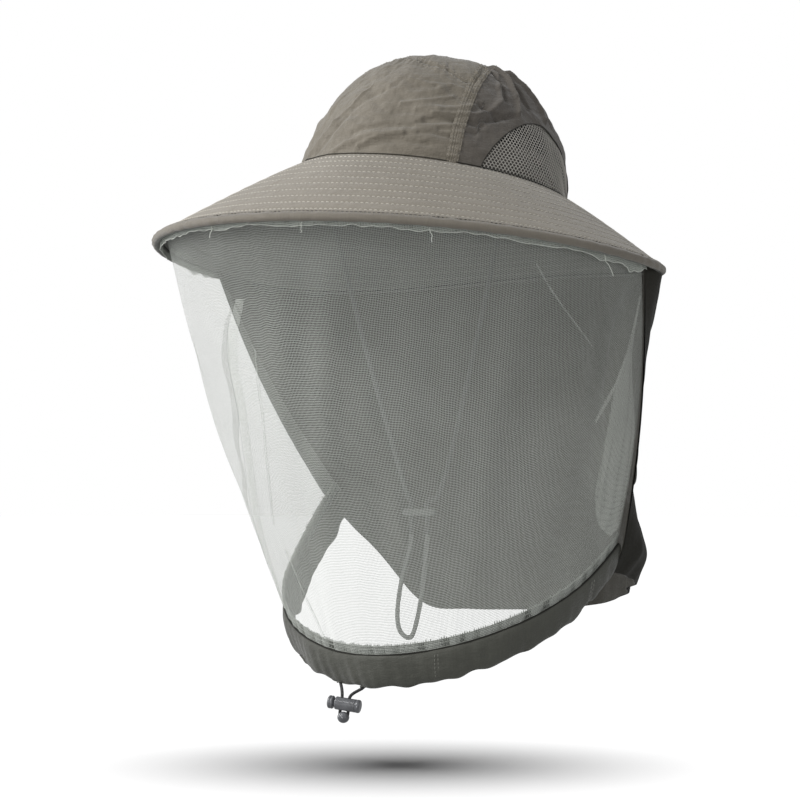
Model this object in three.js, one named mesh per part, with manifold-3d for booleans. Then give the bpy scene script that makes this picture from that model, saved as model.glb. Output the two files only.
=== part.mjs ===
// A wide-brimmed sun hat that carries a beekeeping veil: a see-through net in front, a cloth neck
// cape behind, a hem sleeve with an elastic drawcord and a cord lock, and a chin strap inside.
// Millimetres, +Z up. The wearer faces -Y and the wearer's left is +X. The origin is the middle of
// the head opening, at the seam of crown and brim.
import * as THREE from "three";
import { mergeVertices } from "three/addons/utils/BufferGeometryUtils.js";
import Module from "manifold-3d";

const wasm = await Module();
wasm.setup();

const DEGREE = Math.PI / 180;
const GAP = 0.3; // clearance between pieces that touch
const CLOTH = 1.2; // one layer of cloth with its seam allowance

// The hat sits tipped back on the head, and the veil hangs turned a little to the wearer's left.
const HAT_TILT = 7.7 * DEGREE;
const VEIL_TURN = 8 * DEGREE;

const crown = { halfWidth: 87.5, halfLength: 111.5, height: 99, wall: 1.4, topSeam: 87, columns: 44 };
const dome = { frontPower: 1.4, backPower: 2.3, roundness: 0.4 }; // fuller behind than in front
const seamAngle = 60 * DEGREE; // side seams of the crown, from the wearer's front
const vent = { angle: 107 * DEGREE, halfWidth: 62, height: 46, inset: 0.2, wall: 0.9, foot: 3 };
const tape = { width: 10.5, thickness: 0.8, lift: 0.6, low: 3.6 };
const sweatband = { low: 1, high: 27, thickness: CLOTH, clearance: 1.2 };

// The brim's edge is an oval, narrower behind, that droops below the crown seam.
const brim = { halfWidth: 191.5, front: 209.5, back: 138, columns: 52 };
const brimDrop = { front: 65, side: 60, back: 41 };
const ply = { cloth: 1, stiffener: 2, gap: 0.7, droopPower: 1.1 };
const binding = { halfHeight: 3.4, wall: 0.8, mouth: 6 };
const edgeWireRadius = 1;

// The veil: angles are measured from the wearer's front, towards the wearer's left.
const netTop = { from: -77 * DEGREE, to: 104 * DEGREE };
const netBottom = { from: -91 * DEGREE, to: 101 * DEGREE };
const neck = { radius: 132, backShift: 29 };
const hemHeights = [-231, -284, -315, -337, -349, -347, -333, -308, -271];
const capeHeights = [-281, -287, -293, -302, -309, -314, -315, -315, -310, -270, -240];
const net = { edgeInset: 8, bulge: 8, columns: 32, rows: 5 };
const cape = { edgeInset: 2, margin: 0.012, waist: -19, flare: 3, columns: 30, rows: 6 };
const hem = { height: 21.5, thickness: 7, wall: 1.3, lean: 6 }; // leans in towards its foot
const overlock = { height: 7.5, thickness: 1, gap: 0.6 };

const cordRadius = 1.15;
const buttonhole = { radius: 3, thread: 0.7 };
const cordExits = { right: -1.5 * DEGREE, left: 8.5 * DEGREE };
const lock = { radius: 4.7, length: 18.5, bore: 3.3, blindEnd: 3, travel: 1.2 };
const head = { length: 4, edge: 1 }; // the plunger's head
const spring = { room: 5.5, wire: 0.35, coil: 2.1, turns: 3 };
const lockTurn = 27 * DEGREE;
const lockDip = 8 * DEGREE;
const lockCentre = new THREE.Vector3(7.5, -102.5, -374.5);
const strandSpacing = 6;
const beadRadius = 4.3;
const beadDrop = 9.4;

const strap = { width: 3.6, thickness: 1.4 };
const tab = { angle: 77 * DEGREE, width: 8, thickness: 1.6, clearance: 1.2, low: -6, high: 10 };
const slider = { width: 27, height: 5, depth: 4.4, drop: 238, travel: 12, shift: 3 };

const colours = {
  crown: 0x7c7367,
  brim: 0x8f8678,
  lining: 0x4d4a42,
  vent: 0x57534b,
  net: 0xb4bbb2,
  cape: 0x3f3f37,
  hem: 0x5b5c52,
  overlock: 0x8d9187,
  black: 0x141414,
  strap: 0x6a6b66,
  steel: 0x9b9c9e,
};

const finished = (colour, roughness = 0.9, metalness = 0) =>
  new THREE.MeshStandardMaterial({ color: colour, roughness, metalness });

function mesh(name, geometry, colour, roughness, metalness) {
  const made = new THREE.Mesh(geometry, finished(colour, roughness, metalness));
  made.name = name;
  return made;
}

// ---- solids that are cut or joined --------------------------------------------------------

function solid(geometry) {
  const bare = geometry.clone();
  bare.deleteAttribute("normal");
  bare.deleteAttribute("uv");
  const merged = mergeVertices(bare, 1e-4);
  const triVerts = new Uint32Array(merged.index.array);
  const vertProperties = merged.attributes.position.array;
  return new wasm.Manifold(new wasm.Mesh({ numProp: 3, vertProperties, triVerts }));
}

function geometryOf(made) {
  const { numProp, vertProperties, triVerts } = made.getMesh();
  const geometry = new THREE.BufferGeometry();
  geometry.setAttribute("position", new THREE.BufferAttribute(vertProperties, numProp));
  geometry.setIndex(new THREE.BufferAttribute(triVerts, 1));
  geometry.computeVertexNormals();
  return geometry;
}

// ---- sweeps --------------------------------------------------------------------------------

// Moves every vertex of a geometry to the place that a function gives for it.
function reshape(geometry, place) {
  const position = geometry.attributes.position;
  for (let i = 0; i < position.count; i++) {
    const { x, y, z } = place(position.getX(i), position.getY(i), position.getZ(i));
    position.setXYZ(i, x, y, z);
  }
  geometry.computeVertexNormals();
  return geometry;
}

// A closed ring: the outline (x outward, y up) goes once round, and place(angle, x, y) bends it.
function ring(outline, columns, place) {
  const hub = 100;
  const points = [...outline, outline[0]].map(([x, y]) => new THREE.Vector2(hub + x, y));
  const hoop = new THREE.LatheGeometry(points, columns);
  return reshape(hoop, (x, y, z) => place(Math.atan2(x, z), Math.hypot(x, z) - hub, y));
}

// An open strip: the outline (x outward, y up) runs from share 0 to share 1 of the strip.
function strip(outline, columns, place, hole) {
  const shape = new THREE.Shape(outline.map(([x, y]) => new THREE.Vector2(x, y)));
  if (hole) shape.holes.push(new THREE.Path(hole.map(([x, y]) => new THREE.Vector2(x, y))));
  const options = { depth: 1, steps: columns, bevelEnabled: false };
  const run = new THREE.ExtrudeGeometry(shape, options);
  return reshape(run, (x, y, z) => place(1 - z, x, y));
}

// A bent sheet: place(share, height, depth) takes shares from 0 to 1 across the sheet, up it and
// outward through the cloth.
function sheet(columns, rows, place) {
  const slab = new THREE.BoxGeometry(1, 1, 1, columns, rows, 1).translate(0.5, 0.5, 0.5);
  return reshape(slab, place);
}

const tube = (curve, radius, steps, sides = 8) => {
  const points = roundSection(radius, sides, 0).map(([x, y]) => new THREE.Vector2(x, y));
  const section = new THREE.Shape(points);
  return new THREE.ExtrudeGeometry(section, { steps, extrudePath: curve, bevelEnabled: false });
};

// The points of a round section whose middle lies at x = middle.
const roundSection = (radius, sides, middle) =>
  Array.from({ length: sides }, (unused, i) => {
    const turn = (2 * Math.PI * i) / sides;
    return [middle + radius * Math.cos(turn), radius * Math.sin(turn)];
  });

const mix = THREE.MathUtils.lerp;
const around = (radiusX, radiusY, angle, z) =>
  new THREE.Vector3(radiusX * Math.sin(angle), -radiusY * Math.cos(angle), z);

// A smooth height along a run, from evenly spaced heights.
function heightAlong(heights) {
  const points = heights.map((height, i) => new THREE.Vector3(i / (heights.length - 1), height, 0));
  const curve = new THREE.CatmullRomCurve3(points, false, "catmullrom", 0.5);
  return (share) => curve.getPoint(THREE.MathUtils.clamp(share, 0, 1)).y;
}

// ---- the hat, modelled level and tipped back as one group ----------------------------------

const hat = new THREE.Group();
hat.rotation.x = -HAT_TILT;
hat.updateMatrix();

// A point on the crown's dome, inset from its outer face.
function onCrown(angle, height, inset) {
  const power = mix(dome.frontPower, dome.backPower, (1 - Math.cos(angle)) / 2);
  const rise = Math.min(1, height / (crown.height - inset));
  const share = (1 - rise ** power) ** dome.roundness;
  const { halfWidth, halfLength } = crown;
  return around((halfWidth - inset) * share, (halfLength - inset) * share, angle, height);
}

// A shell between two insets of the dome. Where it reaches the top it closes on the axis.
function crownShell(low, high, outerInset, innerInset, steps) {
  const closed = high >= crown.height;
  const innerFace = 1000; // marks the profile's points on the inner face
  const point = (inset, mark, i) => {
    const top = closed ? crown.height - inset : high;
    const height = low + (top - low) * Math.sin((i / steps) * (Math.PI / 2));
    return new THREE.Vector2(closed && i === steps ? 0 : 1, height + mark);
  };
  const profile = [];
  for (let i = 0; i <= steps; i++) profile.push(point(outerInset, 0, i));
  for (let i = steps; i >= 0; i--) profile.push(point(innerInset, innerFace, i));
  profile.push(profile[0].clone());
  return reshape(new THREE.LatheGeometry(profile, crown.columns), (x, y, z) => {
    const inner = y > innerFace / 2;
    const height = inner ? y - innerFace : y;
    if (Math.hypot(x, z) < 0.5) return new THREE.Vector3(0, 0, height);
    return onCrown(Math.atan2(x, z), height, inner ? innerInset : outerInset);
  });
}

// A block that holds every point between two angles, to cut a panel with.
function wedge(from, to, low, high) {
  const reach = 300;
  const shape = new THREE.Shape([new THREE.Vector2(0, 0)]);
  const steps = 6;
  for (let i = 0; i <= steps; i++) {
    const { x, y } = around(reach, reach, mix(from, to, i / steps), 0);
    shape.lineTo(x, y);
  }
  const block = new THREE.ExtrudeGeometry(shape, { depth: high - low, bevelEnabled: false });
  return block.translate(0, 0, low);
}

// An arched prism through one side of the crown: the outline of a mesh vent.
function ventCutter(side, shrink) {
  const arch = new THREE.Shape();
  const halfWidth = vent.halfWidth - shrink;
  arch.moveTo(-halfWidth, vent.foot + shrink);
  arch.lineTo(halfWidth, vent.foot + shrink);
  arch.absellipse(0, vent.foot + shrink, halfWidth, vent.height - 2 * shrink, 0, Math.PI, false);
  const reach = 150; // past the crown's outer face
  const prism = new THREE.ExtrudeGeometry(arch, { depth: reach, bevelEnabled: false });
  prism.rotateX(Math.PI / 2);
  prism.translate(0, -crown.halfWidth / 4, 0);
  return prism.rotateZ(side * vent.angle);
}

function addCrown() {
  const shell = solid(crownShell(0, crown.height, 0, crown.wall, 8));
  const half = GAP / 2;
  const nudge = 0.12 * DEGREE; // half of the gap at the side seams
  const lowBlock = (from, to) => solid(wedge(from + nudge, to - nudge, -1, crown.topSeam - half));
  const room = 40; // more than the height of the top panel
  const tip = new THREE.BoxGeometry(4 * crown.halfWidth, 4 * crown.halfWidth, room);
  const tipBlock = solid(tip.translate(0, 0, crown.topSeam + half + room / 2));
  const front = shell.intersect(lowBlock(-seamAngle, seamAngle));
  let rear = shell.intersect(lowBlock(seamAngle, 2 * Math.PI - seamAngle));
  hat.add(mesh("crown_front_panel", geometryOf(front), colours.crown));
  hat.add(mesh("crown_top_panel", geometryOf(shell.intersect(tipBlock)), colours.crown));

  const { inset, wall } = vent;
  const thin = solid(crownShell(0, crown.height, inset, inset + wall, 8));
  for (const [name, side] of [["left", 1], ["right", -1]]) {
    rear = rear.subtract(solid(ventCutter(side, 0)));
    const panel = thin.intersect(solid(ventCutter(side, GAP)));
    hat.add(mesh(`vent_mesh_${name}`, geometryOf(panel), colours.vent));
  }
  hat.add(mesh("crown_rear_panel", geometryOf(rear), colours.crown));
}

function addSeamTapes() {
  const placed = (side) => (share, height, depth) => {
    const level = mix(tape.low, crown.topSeam - 3, height);
    const middle = onCrown(side * seamAngle, level, 0);
    const reach = Math.hypot(middle.x, middle.y);
    const across = ((share - 0.5) * tape.width) / reach;
    return onCrown(side * seamAngle + across, level, -tape.lift - depth * tape.thickness);
  };
  for (const [name, side] of [["left", 1], ["right", -1]])
    hat.add(mesh(`crown_seam_tape_${name}`, sheet(2, 9, placed(side)), colours.crown));
}

function addSweatband() {
  const inset = crown.wall + sweatband.clearance;
  const band = crownShell(sweatband.low, sweatband.high, inset, inset + sweatband.thickness, 3);
  hat.add(mesh("sweatband", band, colours.lining));
}

// A point by the brim's edge, measured outward along the slope of the brim and up square to it.
function brimEdge(angle, outward = 0, up = 0) {
  const front = Math.cos(angle) > 0;
  const end = front ? brimDrop.front : brimDrop.back;
  const drop = brimDrop.side + (end - brimDrop.side) * Math.cos(angle) ** 2;
  const length = front ? brim.front : brim.back;
  const edge = around(brim.halfWidth, length, angle, 0);
  const seam = around(crown.halfWidth, crown.halfLength, angle, 0);
  const slope = Math.atan((ply.droopPower * drop) / edge.distanceTo(seam));
  const across = outward * Math.cos(slope) + up * Math.sin(slope);
  const lift = up * Math.cos(slope) - outward * Math.sin(slope) - drop;
  return around(brim.halfWidth + across, length + across, angle, lift);
}

// A point in the brim: share 0 at the crown seam, share 1 at the edge, lifted off its mid surface.
function onBrim(angle, share, lift) {
  const seam = around(crown.halfWidth + GAP, crown.halfLength + GAP, angle, 0);
  const edge = brimEdge(angle, -1.6);
  const drop = edge.z * Math.max(0, share) ** ply.droopPower;
  return new THREE.Vector3(mix(seam.x, edge.x, share), mix(seam.y, edge.y, share), drop + lift);
}

function addBrim() {
  const half = ply.stiffener / 2;
  const layer = (low, high) => {
    const outline = [[0, low], [0.5, low], [1, low], [1, high], [0.5, high], [0, high]];
    return ring(outline, brim.columns, onBrim);
  };
  hat.add(mesh("brim_stiffener", layer(-half, half), colours.lining));
  const near = half + ply.gap;
  hat.add(mesh("brim_top_ply", layer(near, near + ply.cloth), colours.brim));
  hat.add(mesh("brim_bottom_ply", layer(-near - ply.cloth, -near), colours.brim));
}

// The binding is a folded tape, C-shaped in section, that wraps the plies and a spring-steel wire.
function addBrimEdge() {
  const outer = binding.halfHeight;
  const inner = outer - binding.wall;
  const arc = (radius, from, to) =>
    [0, 0.33, 0.67, 1].map((share) => {
      const turn = mix(from, to, share) * DEGREE;
      return [radius * Math.cos(turn), radius * Math.sin(turn)];
    });
  const outline = [
    [-binding.mouth, -outer],
    ...arc(outer, -80, 80),
    [-binding.mouth, outer],
    [-binding.mouth, inner],
    ...arc(inner, 80, -80),
    [-binding.mouth, -inner],
  ];
  hat.add(mesh("brim_edge_binding", ring(outline, brim.columns, brimEdge), colours.brim));
  const wire = roundSection(edgeWireRadius, 5, 0.6);
  hat.add(mesh("brim_edge_wire", ring(wire, brim.columns, brimEdge), colours.steel, 0.4, 1));
}

addCrown();
addSeamTapes();
addSweatband();
addBrim();
addBrimEdge();

// ---- the veil, which hangs plumb ------------------------------------------------------------

const veil = new THREE.Group();
const hemHeight = heightAlong(hemHeights);
const capeHeight = heightAlong(capeHeights);

// A point of the round neckline, moved outward from it.
const onNeck = (angle, outward, z) =>
  around(neck.radius + outward, neck.radius + outward, angle, z).setY(
    neck.backShift - (neck.radius + outward) * Math.cos(angle),
  );

// Where the veil is sewn: inside the binding, just under the brim's edge.
function brimSeam(angle, outward) {
  const drop = binding.halfHeight + GAP;
  return brimEdge(angle, outward, -drop).applyMatrix4(hat.matrix);
}

// The net hangs from the brim seam to the top of the hem sleeve.
function onNet(share, height, outward) {
  const top = brimSeam(mix(netTop.from, netTop.to, share), outward - net.edgeInset);
  const low = hemHeight(share) + hem.height / 2 + GAP;
  const bottom = onNeck(mix(netBottom.from, netBottom.to, share), outward, low);
  const point = bottom.lerp(top, height);
  const swell = net.bulge * Math.sin(Math.PI * height);
  const angle = mix(netTop.from, netTop.to, share);
  return point.add(around(swell, swell, angle, 0));
}

// The cape hangs from the brim's back edge, narrows at the nape and flares at its hem.
function onCape(share, height, outward) {
  const inside = mix(cape.margin, 1 - cape.margin, share);
  const topTurn = mix(netTop.to, netTop.from + 2 * Math.PI, inside);
  const lowTurn = mix(netBottom.to, netBottom.from + 2 * Math.PI, inside);
  const freedom = 1 - (2 * inside - 1) ** 6; // 0 where the cape meets the net, 1 between
  const inset = mix(net.edgeInset, cape.edgeInset, freedom);
  const top = brimSeam(topTurn, outward - inset);
  const bottom = onNeck(lowTurn, outward + cape.flare * freedom, capeHeight(share));
  const swell = mix(net.bulge, cape.waist, freedom) * Math.sin(Math.PI * height);
  const point = bottom.lerp(top, height);
  return point.add(around(swell, swell, mix(topTurn, lowTurn, 0.5), 0));
}

function addSheets() {
  const netSheet = (share, height, depth) => onNet(share, height, depth * CLOTH);
  const capeSheet = (share, height, depth) => onCape(share, height, depth * CLOTH);
  veil.add(mesh("net_veil", sheet(net.columns, net.rows, netSheet), colours.net, 0.8));
  veil.add(mesh("neck_cape", sheet(cape.columns, cape.rows, capeSheet), colours.cape, 0.7));
}

// A rounded, pressed-flat sleeve section: 8 points.
const flatSection = (halfThick, halfHigh) => {
  const corner = halfThick * 0.6;
  return [
    [halfThick - corner, -halfHigh],
    [halfThick, corner - halfHigh],
    [halfThick, halfHigh - corner],
    [halfThick - corner, halfHigh],
    [corner - halfThick, halfHigh],
    [-halfThick, halfHigh - corner],
    [-halfThick, corner - halfHigh],
    [corner - halfThick, -halfHigh],
  ];
};

const hemAngle = (share) => mix(netBottom.from, netBottom.to, share);
const hemShare = (angle) => (angle - netBottom.from) / (netBottom.to - netBottom.from);
function onHem(share, outward, up) {
  const lean = hem.lean * (up / hem.height - 0.5);
  return onNeck(hemAngle(share), outward + lean, hemHeight(share) + up);
}
const cordLevel = 4 - hem.height / 2; // the cord lies near the bottom of the sleeve

// The strands of the drawcord between the sleeve and the bead, in the lock's own frame:
// x along the barrel, z along the strands.
const lockFrame = new THREE.Group();
lockFrame.position.copy(lockCentre);
lockFrame.rotation.set(0, lockDip, lockTurn, "ZYX");
lockFrame.updateMatrix();
const inLock = (x, y, z) => new THREE.Vector3(x, y, z).applyMatrix4(lockFrame.matrix);

const cordPoint = (angle) => onHem(hemShare(angle), 0, cordLevel);
function sleeveRun(from, to, count) {
  const points = [];
  for (let i = 0; i <= count; i++) points.push(cordPoint(mix(from, to, i / count)));
  return points;
}

// One elastic cord: round the right half of the sleeve, down through the lock and the bead, back
// up, and round the left half.
function drawcordCurves() {
  const end = 1.5 * DEGREE;
  const turnIn = 1.4 * DEGREE;
  const { right, left } = cordExits;
  const half = strandSpacing / 2;
  const below = (angle) => onHem(hemShare(angle), 0, -hem.height / 2 - 2);
  const low = inLock(0, 0, -beadDrop - 1);
  const bottomLeft = inLock(half * 0.8, 0, -beadDrop + 1);
  const bottomRight = inLock(-half * 0.8, 0, -beadDrop + 1);
  const rightRun = sleeveRun(netBottom.from + end, right - turnIn, 12);
  const leftRun = sleeveRun(left + turnIn, netBottom.to - end, 12);
  const tail = [
    rightRun[rightRun.length - 1],
    below(right),
    inLock(-half, 0, 6),
    inLock(-half, 0, -6),
    bottomRight,
    low,
    bottomLeft,
    inLock(half, 0, -6),
    inLock(half, 0, 6),
    below(left),
    leftRun[0],
  ];
  return [rightRun, tail, leftRun].map((points) => new THREE.CatmullRomCurve3(points));
}

const [rightCurve, tailCurve, leftCurve] = drawcordCurves();

function addHem() {
  const halfThick = hem.thickness / 2;
  const halfHigh = hem.height / 2;
  const outer = flatSection(halfThick, halfHigh);
  const inner = flatSection(halfThick - hem.wall, halfHigh - hem.wall);
  const sleeve = solid(strip(outer, net.columns, onHem, inner));
  const bore = solid(tube(tailCurve, cordRadius + GAP + 0.1, 44)); // the ways out
  veil.add(mesh("hem_sleeve", geometryOf(sleeve.subtract(bore)), colours.hem));

  const onBand = (share, height, depth) => {
    const inward = -overlock.gap - (1 - depth) * overlock.thickness;
    const foot = onNet(share, 0, inward);
    const head = onNet(share, 1 / net.rows, inward);
    return foot.lerp(head, (height * overlock.height) / foot.distanceTo(head));
  };
  veil.add(mesh("hem_overlock_band", sheet(net.columns, 1, onBand), colours.overlock));
}

function addDrawcord() {
  const right = solid(tube(rightCurve, cordRadius, 22));
  const tail = solid(tube(tailCurve, cordRadius, 26));
  const left = solid(tube(leftCurve, cordRadius, 22));
  const joined = right.add(tail).add(left);
  veil.add(mesh("elastic_drawcord", geometryOf(joined), colours.black, 0.7));
}

// Bar-tacked rings where the cord leaves the sleeve.
function addButtonholes() {
  for (const [name, angle] of Object.entries(cordExits)) {
    const eye = new THREE.TorusGeometry(buttonhole.radius, buttonhole.thread, 6, 16);
    const made = mesh(`buttonhole_${name}`, eye, colours.hem);
    const below = hem.height / 2 + buttonhole.thread + 0.2 + GAP;
    made.position.copy(onHem(hemShare(angle), 0, -below));
    veil.add(made);
  }
}

// ---- the cord lock ---------------------------------------------------------------------------

const turned = (profile, segments = 24) => {
  const points = profile.map(([radius, along]) => new THREE.Vector2(radius, along));
  return new THREE.LatheGeometry(points, segments).rotateZ(-Math.PI / 2);
};

// The lock's parts lie along x. The plunger's head is at the -x end and the barrel is blind at +x.
const barrelStart = 2.2 - lock.length / 2;
const barrelEnd = barrelStart + lock.length;
const boreEnd = barrelEnd - lock.blindEnd;
const plungerEnd = boreEnd - spring.room;
const slotEnd = 7.4;

// The slot that both strands pass through. Its near end leaves them room when the piece moves.
function slot(travel) {
  const start = -strandSpacing / 2 - cordRadius - 2.5 * GAP - travel;
  const block = new THREE.BoxGeometry(slotEnd - start, 2 * (cordRadius + 0.8), 4 * lock.radius);
  return solid(block.translate((start + slotEnd) / 2, 0, 0));
}

function addLock() {
  const { radius, bore } = lock;
  const barrel = turned([
    [bore, barrelStart],
    [radius - 0.5, barrelStart],
    [radius, barrelStart + 0.5],
    [radius, barrelEnd - 1.2],
    [radius - 1.2, barrelEnd],
    [0, barrelEnd],
    [0, boreEnd],
    [bore, boreEnd],
    [bore, barrelStart],
  ]);
  const headEnd = barrelStart - lock.travel - GAP;
  const shaft = bore - GAP;
  const plunger = turned([
    [0, headEnd - head.length],
    [radius - head.edge, headEnd - head.length],
    [radius, headEnd - head.length + head.edge],
    [radius, headEnd - 0.6],
    [radius - 0.6, headEnd],
    [shaft, headEnd],
    [shaft, plungerEnd],
    [0, plungerEnd],
  ]);
  const cut = (geometry, travel) => geometryOf(solid(geometry).subtract(slot(travel)));
  lockFrame.add(mesh("cord_lock_barrel", cut(barrel, 0), colours.black, 0.35));
  lockFrame.add(mesh("cord_lock_plunger", cut(plunger, lock.travel), colours.black, 0.35));
  lockFrame.add(mesh("cord_lock_spring", springGeometry(), colours.steel, 0.3, 1));
}

// The spring sits in the blind end, drawn at its pressed length.
function springGeometry() {
  const { room, wire, coil, turns } = spring;
  const from = boreEnd - wire - GAP / 2;
  const length = room - lock.travel - 2 * wire - 0.5;
  const perTurn = 10;
  const points = [];
  for (let i = 0; i <= turns * perTurn; i++) {
    const turn = (i * 2 * Math.PI) / perTurn;
    const along = from - (length * i) / (turns * perTurn);
    points.push(new THREE.Vector3(along, coil * Math.cos(turn), coil * Math.sin(turn)));
  }
  return tube(new THREE.CatmullRomCurve3(points), wire, turns * 12, 5);
}

function addBead() {
  const ball = new THREE.SphereGeometry(beadRadius, 16, 10);
  ball.rotateX(Math.PI / 2).scale(1, 1, 0.95);
  const centre = inLock(0, 0, -beadDrop);
  const placed = solid(ball.translate(centre.x, centre.y, centre.z));
  const channel = solid(tube(tailCurve, cordRadius + GAP, 28));
  veil.add(mesh("cord_end_bead", geometryOf(placed.subtract(channel)), colours.black, 0.35));
}

// ---- the chin strap ---------------------------------------------------------------------------

// A tab's middle on the inner face of the sweatband, in the hat's own frame.
function tabPlace(side, height) {
  const band = crown.wall + sweatband.clearance + sweatband.thickness;
  const stack = band + tab.clearance + tab.thickness;
  return onCrown(VEIL_TURN + side * tab.angle, Math.max(0, height), stack).setZ(height);
}

// The strap hangs in the upright plane through its two tabs: x runs across, from right to left.
const strapFrame = new THREE.Group();
const strapEnds = [-1, 1].map((side) => tabPlace(side, tab.low - GAP).applyMatrix4(hat.matrix));
const strapSpan = strapEnds[1].clone().sub(strapEnds[0]);
strapFrame.position.copy(strapEnds[0]).lerp(strapEnds[1], 0.5).setZ(0);
strapFrame.rotation.z = Math.atan2(strapSpan.y, strapSpan.x);

function bandAlong(points, steps) {
  const curve = new THREE.CatmullRomCurve3(points.map(([x, z]) => new THREE.Vector3(x, 0, z)));
  const outline = [
    [-strap.thickness / 2, -strap.width / 2],
    [strap.thickness / 2, -strap.width / 2],
    [strap.thickness / 2, strap.width / 2],
    [-strap.thickness / 2, strap.width / 2],
  ];
  const side = new THREE.Vector3();
  const place = (share, through, across) => {
    const point = curve.getPointAt(share);
    const along = curve.getTangentAt(share);
    side.set(along.z, 0, -along.x);
    return point.addScaledVector(side, across).setY(through);
  };
  return strip(outline, steps, place);
}

function addChinStrap() {
  const reach = Math.hypot(strapSpan.x, strapSpan.y) / 2;
  const gate = slider.width / 2 - 6.5;
  const over = -slider.drop + slider.height / 2 + 6;
  const end = -slider.drop - slider.travel - 4;
  const left = slider.shift + gate;
  const right = slider.shift - gate;
  const gathered = (x, spread) => [[x + spread, over], [x, over - 6], [x, end]];
  const strands = {
    left: [[reach, strapEnds[1].z - GAP], [53, -112], [24, over + 14], ...gathered(left, 0.6)],
    right: [[-reach, strapEnds[0].z - GAP], [-46, -112], [-11, over + 14], ...gathered(right, -0.6)],
  };
  for (const [name, points] of Object.entries(strands))
    strapFrame.add(mesh(`chin_strap_${name}`, bandAlong(points, 14), colours.strap));
  const foot = end - GAP;
  const loop = [
    [right, foot],
    [right - 0.5, foot - 8],
    [-11.5, -284],
    [-16, -309],
    [-14.5, -324],
    [-7, -330],
    [-1.5, -325],
    [5, -299],
    [left - 0.5, foot - 9],
    [left, foot],
  ];
  strapFrame.add(mesh("chin_strap_loop", bandAlong(loop, 26), colours.strap));
  addSlider(gate);
}

// A toggle bar with one wide slot for both strands.
function addSlider(gate) {
  const bar = new THREE.Shape();
  const end = slider.height / 2;
  bar.absarc(slider.width / 2 - end, 0, end, -Math.PI / 2, Math.PI / 2, false);
  bar.absarc(end - slider.width / 2, 0, end, Math.PI / 2, 1.5 * Math.PI, false);
  const options = { depth: slider.depth, bevelEnabled: false, curveSegments: 6 };
  const body = new THREE.ExtrudeGeometry(bar, options);
  body.translate(0, 0, -slider.depth / 2).rotateX(Math.PI / 2);
  let made = solid(body);
  for (const side of [-1, 1]) {
    const slotBox = new THREE.BoxGeometry(strap.width + 1.6, strap.thickness + 1, 3 * slider.height);
    made = made.subtract(solid(slotBox.translate(side * gate, 0, 0)));
  }
  const placed = mesh("chin_strap_slider", geometryOf(made), colours.lining, 0.5);
  placed.position.set(slider.shift, 0, -slider.drop);
  strapFrame.add(placed);
}

// Sewn tabs that hold the strap's ends to the sweatband.
function addStrapTabs() {
  for (const [name, side] of [["left", 1], ["right", -1]]) {
    const flat = new THREE.BoxGeometry(tab.width, tab.thickness, tab.high - tab.low);
    const made = mesh(`strap_tab_${name}`, flat, colours.lining);
    made.position.copy(tabPlace(side, (tab.low + tab.high) / 2));
    const turn = VEIL_TURN + side * tab.angle;
    made.rotation.z = Math.atan2(crown.halfLength * Math.sin(turn), crown.halfWidth * Math.cos(turn));
    hat.add(made);
  }
}

addSheets();
addHem();
addDrawcord();
addButtonholes();
addLock();
addBead();
addChinStrap();
addStrapTabs();

const beekeepingVeil = new THREE.Group();
beekeepingVeil.add(hat, veil, lockFrame, strapFrame);

export default beekeepingVeil;
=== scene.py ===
# A beekeeping veil hung as worn: a wide-brimmed sun hat, a fine net in front, a cloth cape behind,
# a drawcord hem and a chin strap. Shapes are worked out in millimetres and stored in metres.
import math
import bpy
import numpy as np
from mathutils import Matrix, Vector


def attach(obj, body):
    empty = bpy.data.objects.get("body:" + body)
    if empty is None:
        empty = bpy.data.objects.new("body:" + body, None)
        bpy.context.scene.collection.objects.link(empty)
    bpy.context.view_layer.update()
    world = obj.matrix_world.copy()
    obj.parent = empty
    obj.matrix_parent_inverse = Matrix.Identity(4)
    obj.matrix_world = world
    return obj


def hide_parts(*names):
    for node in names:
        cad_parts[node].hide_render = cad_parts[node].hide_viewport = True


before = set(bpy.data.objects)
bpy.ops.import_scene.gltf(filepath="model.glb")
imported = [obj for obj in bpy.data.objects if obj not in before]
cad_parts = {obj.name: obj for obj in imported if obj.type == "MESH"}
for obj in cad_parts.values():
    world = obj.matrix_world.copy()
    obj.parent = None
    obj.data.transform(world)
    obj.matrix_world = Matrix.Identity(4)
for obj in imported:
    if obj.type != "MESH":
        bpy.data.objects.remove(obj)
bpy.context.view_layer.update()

MM = 0.001
DEG = math.pi / 180
HAT = "hat_and_veil"

# ---- the driving dimensions, as in the CAD model -----------------------------------------------

HAT_TILT = 7.7 * DEG
VEIL_TURN = 8 * DEG
CROWN_WIDTH, CROWN_LENGTH, CROWN_HEIGHT = 87.5, 111.5, 99
SIDE_SEAM = 60 * DEG
VENT_ANGLE, VENT_WIDTH, VENT_HEIGHT, VENT_FOOT = 107 * DEG, 62, 46, 3
BRIM_WIDTH, BRIM_FRONT, BRIM_BACK = 191.5, 209.5, 138
DROP_FRONT, DROP_SIDE, DROP_BACK = 65, 60, 41
PLY_LIFT, PLY_THICK = 2.5, 0.5
BIND_HALF, BIND_MOUTH = 3.0, 4.2
NET_TOP = (-77 * DEG, 104 * DEG)
NET_BOTTOM = (-91 * DEG, 101 * DEG)
NECK_RADIUS, NECK_BACK = 132, 29
HEM_HEIGHTS = [-231, -284, -315, -337, -349, -347, -333, -308, -271]
CAPE_HEIGHTS = [-281, -287, -293, -302, -309, -314, -315, -315, -310, -270, -240]
HEM_HIGH, HEM_THICK, HEM_LEAN, HEM_FLARE = 21.5, 7.0, 6.0, 1.14

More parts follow.
